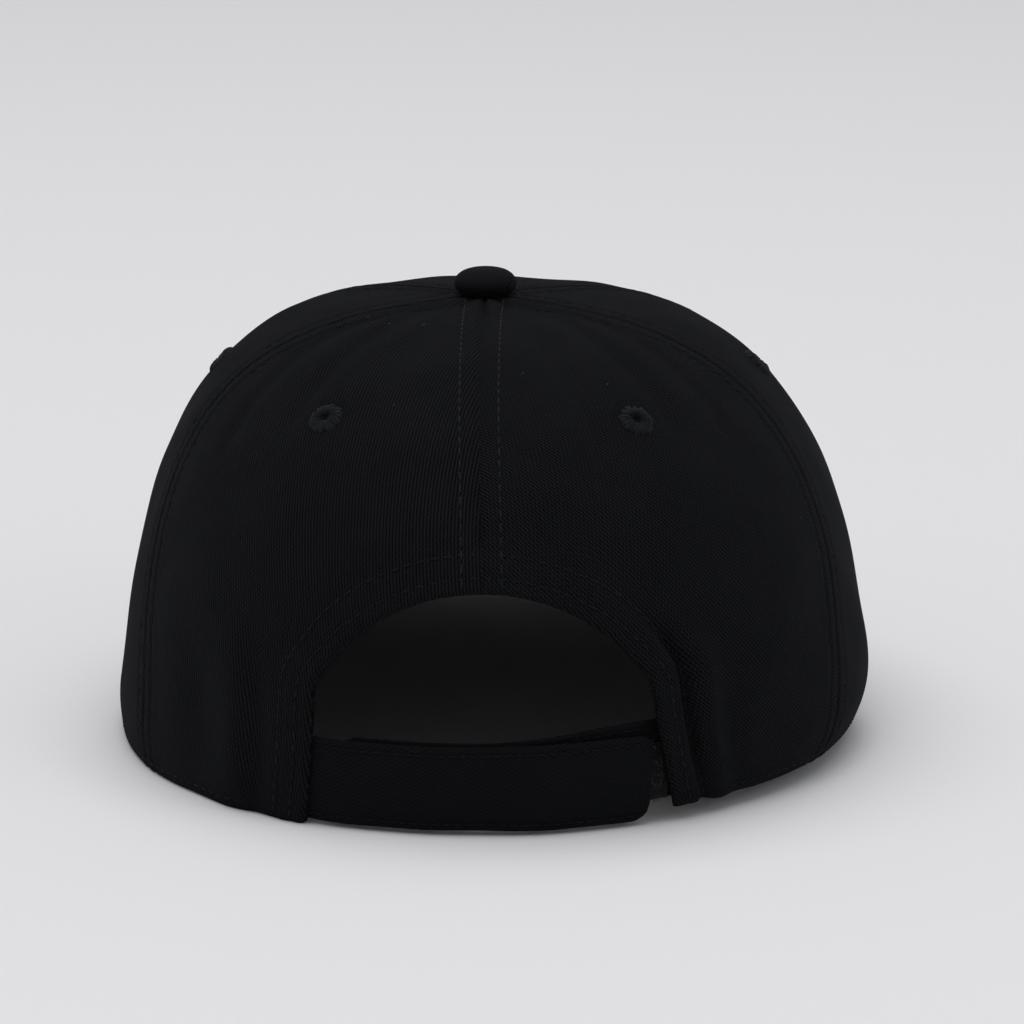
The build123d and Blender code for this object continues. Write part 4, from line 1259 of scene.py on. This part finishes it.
# ------------------------------------------------------------------ stage, light, camera
def stage():
    mat, nodes, links, shader = new_material("studio_floor", 0.9, specular=0.1)
    shader.inputs["Base Color"].default_value = (0.80, 0.80, 0.81, 1)
    profile = [(0.0, 0.0), (1.6, 0.0)]
    profile += [(3.2 + 0.8 * sin(a), 0.8 - 0.8 * cos(a)) for a in np.linspace(0, pi / 2, 16)] + [(4.0, 1.6)]
    turns = 96
    verts = [(r * cos(2 * pi * k / turns), r * sin(2 * pi * k / turns), z) for r, z in profile[1:] for k in range(turns)]
    verts.append((0, 0, 0))
    faces = [(k, (k + 1) % turns, len(verts) - 1) for k in range(turns)]
    for i in range(len(profile) - 2):
        for k in range(turns):
            a, b = i * turns + k, i * turns + (k + 1) % turns
            faces.append((a, a + turns, b + turns, b))
    mesh = bpy.data.meshes.new("backdrop")
    mesh.from_pydata(verts, [], faces)
    mesh.shade_smooth()
    mesh.materials.append(mat)
    obj = bpy.data.objects.new("backdrop", mesh)
    bpy.context.scene.collection.objects.link(obj)


stage()


def area(name, place, target, size, power, colour=(1, 1, 1)):
    light = bpy.data.lights.new(name, "AREA")
    light.shape = "RECTANGLE"
    light.size, light.size_y = size
    light.energy = power
    light.color = colour
    obj = bpy.data.objects.new(name, light)
    obj.location = place
    obj.rotation_euler = (Vector(target) - Vector(place)).to_track_quat("-Z", "Y").to_euler()
    bpy.context.scene.collection.objects.link(obj)


area("overhead", (0.2, 0.1, 3.2), (0, 0, 0.1), (3.6, 3.6), 87, (1.0, 0.99, 0.98))
area("key_left", (1.5, 1.2, 1.1), (0, 0, 0.07), (1.1, 1.1), 0.7)
area("fill_right", (-1.6, 1.0, 0.9), (0, 0, 0.07), (1.2, 1.2), 3.2)

world = bpy.data.worlds.new("studio")
bpy.context.scene.world = world
world.use_nodes = True
world.node_tree.nodes["Background"].inputs[0].default_value = (0.93, 0.95, 1.0, 1)
world.node_tree.nodes["Background"].inputs[1].default_value = 0.30
bpy.context.scene.view_settings.view_transform = "Standard"

ELEVATION, YAW, DISTANCE, SCALE = radians(13.27), radians(1.76), 1.300, 3.918
aim = Vector((0, 0, 0.0563))
away = Vector((-sin(YAW) * cos(ELEVATION), cos(YAW) * cos(ELEVATION), sin(ELEVATION)))
right = (-away).cross(Vector((0, 0, 1))).normalized()
up = right.cross(-away)
look = aim + right * 0.00676 - up * 0.00133
camera = bpy.data.cameras.new("camera")
camera.sensor_width = 36.0
camera.lens = SCALE * DISTANCE / MM * 36 / 1024
camera.clip_end = 50
cam = bpy.data.objects.new("camera", camera)
cam.location = aim + away * DISTANCE
cam.rotation_euler = (look - cam.location).to_track_quat("-Z", "Y").to_euler()
bpy.context.scene.collection.objects.link(cam)
bpy.context.scene.camera = cam
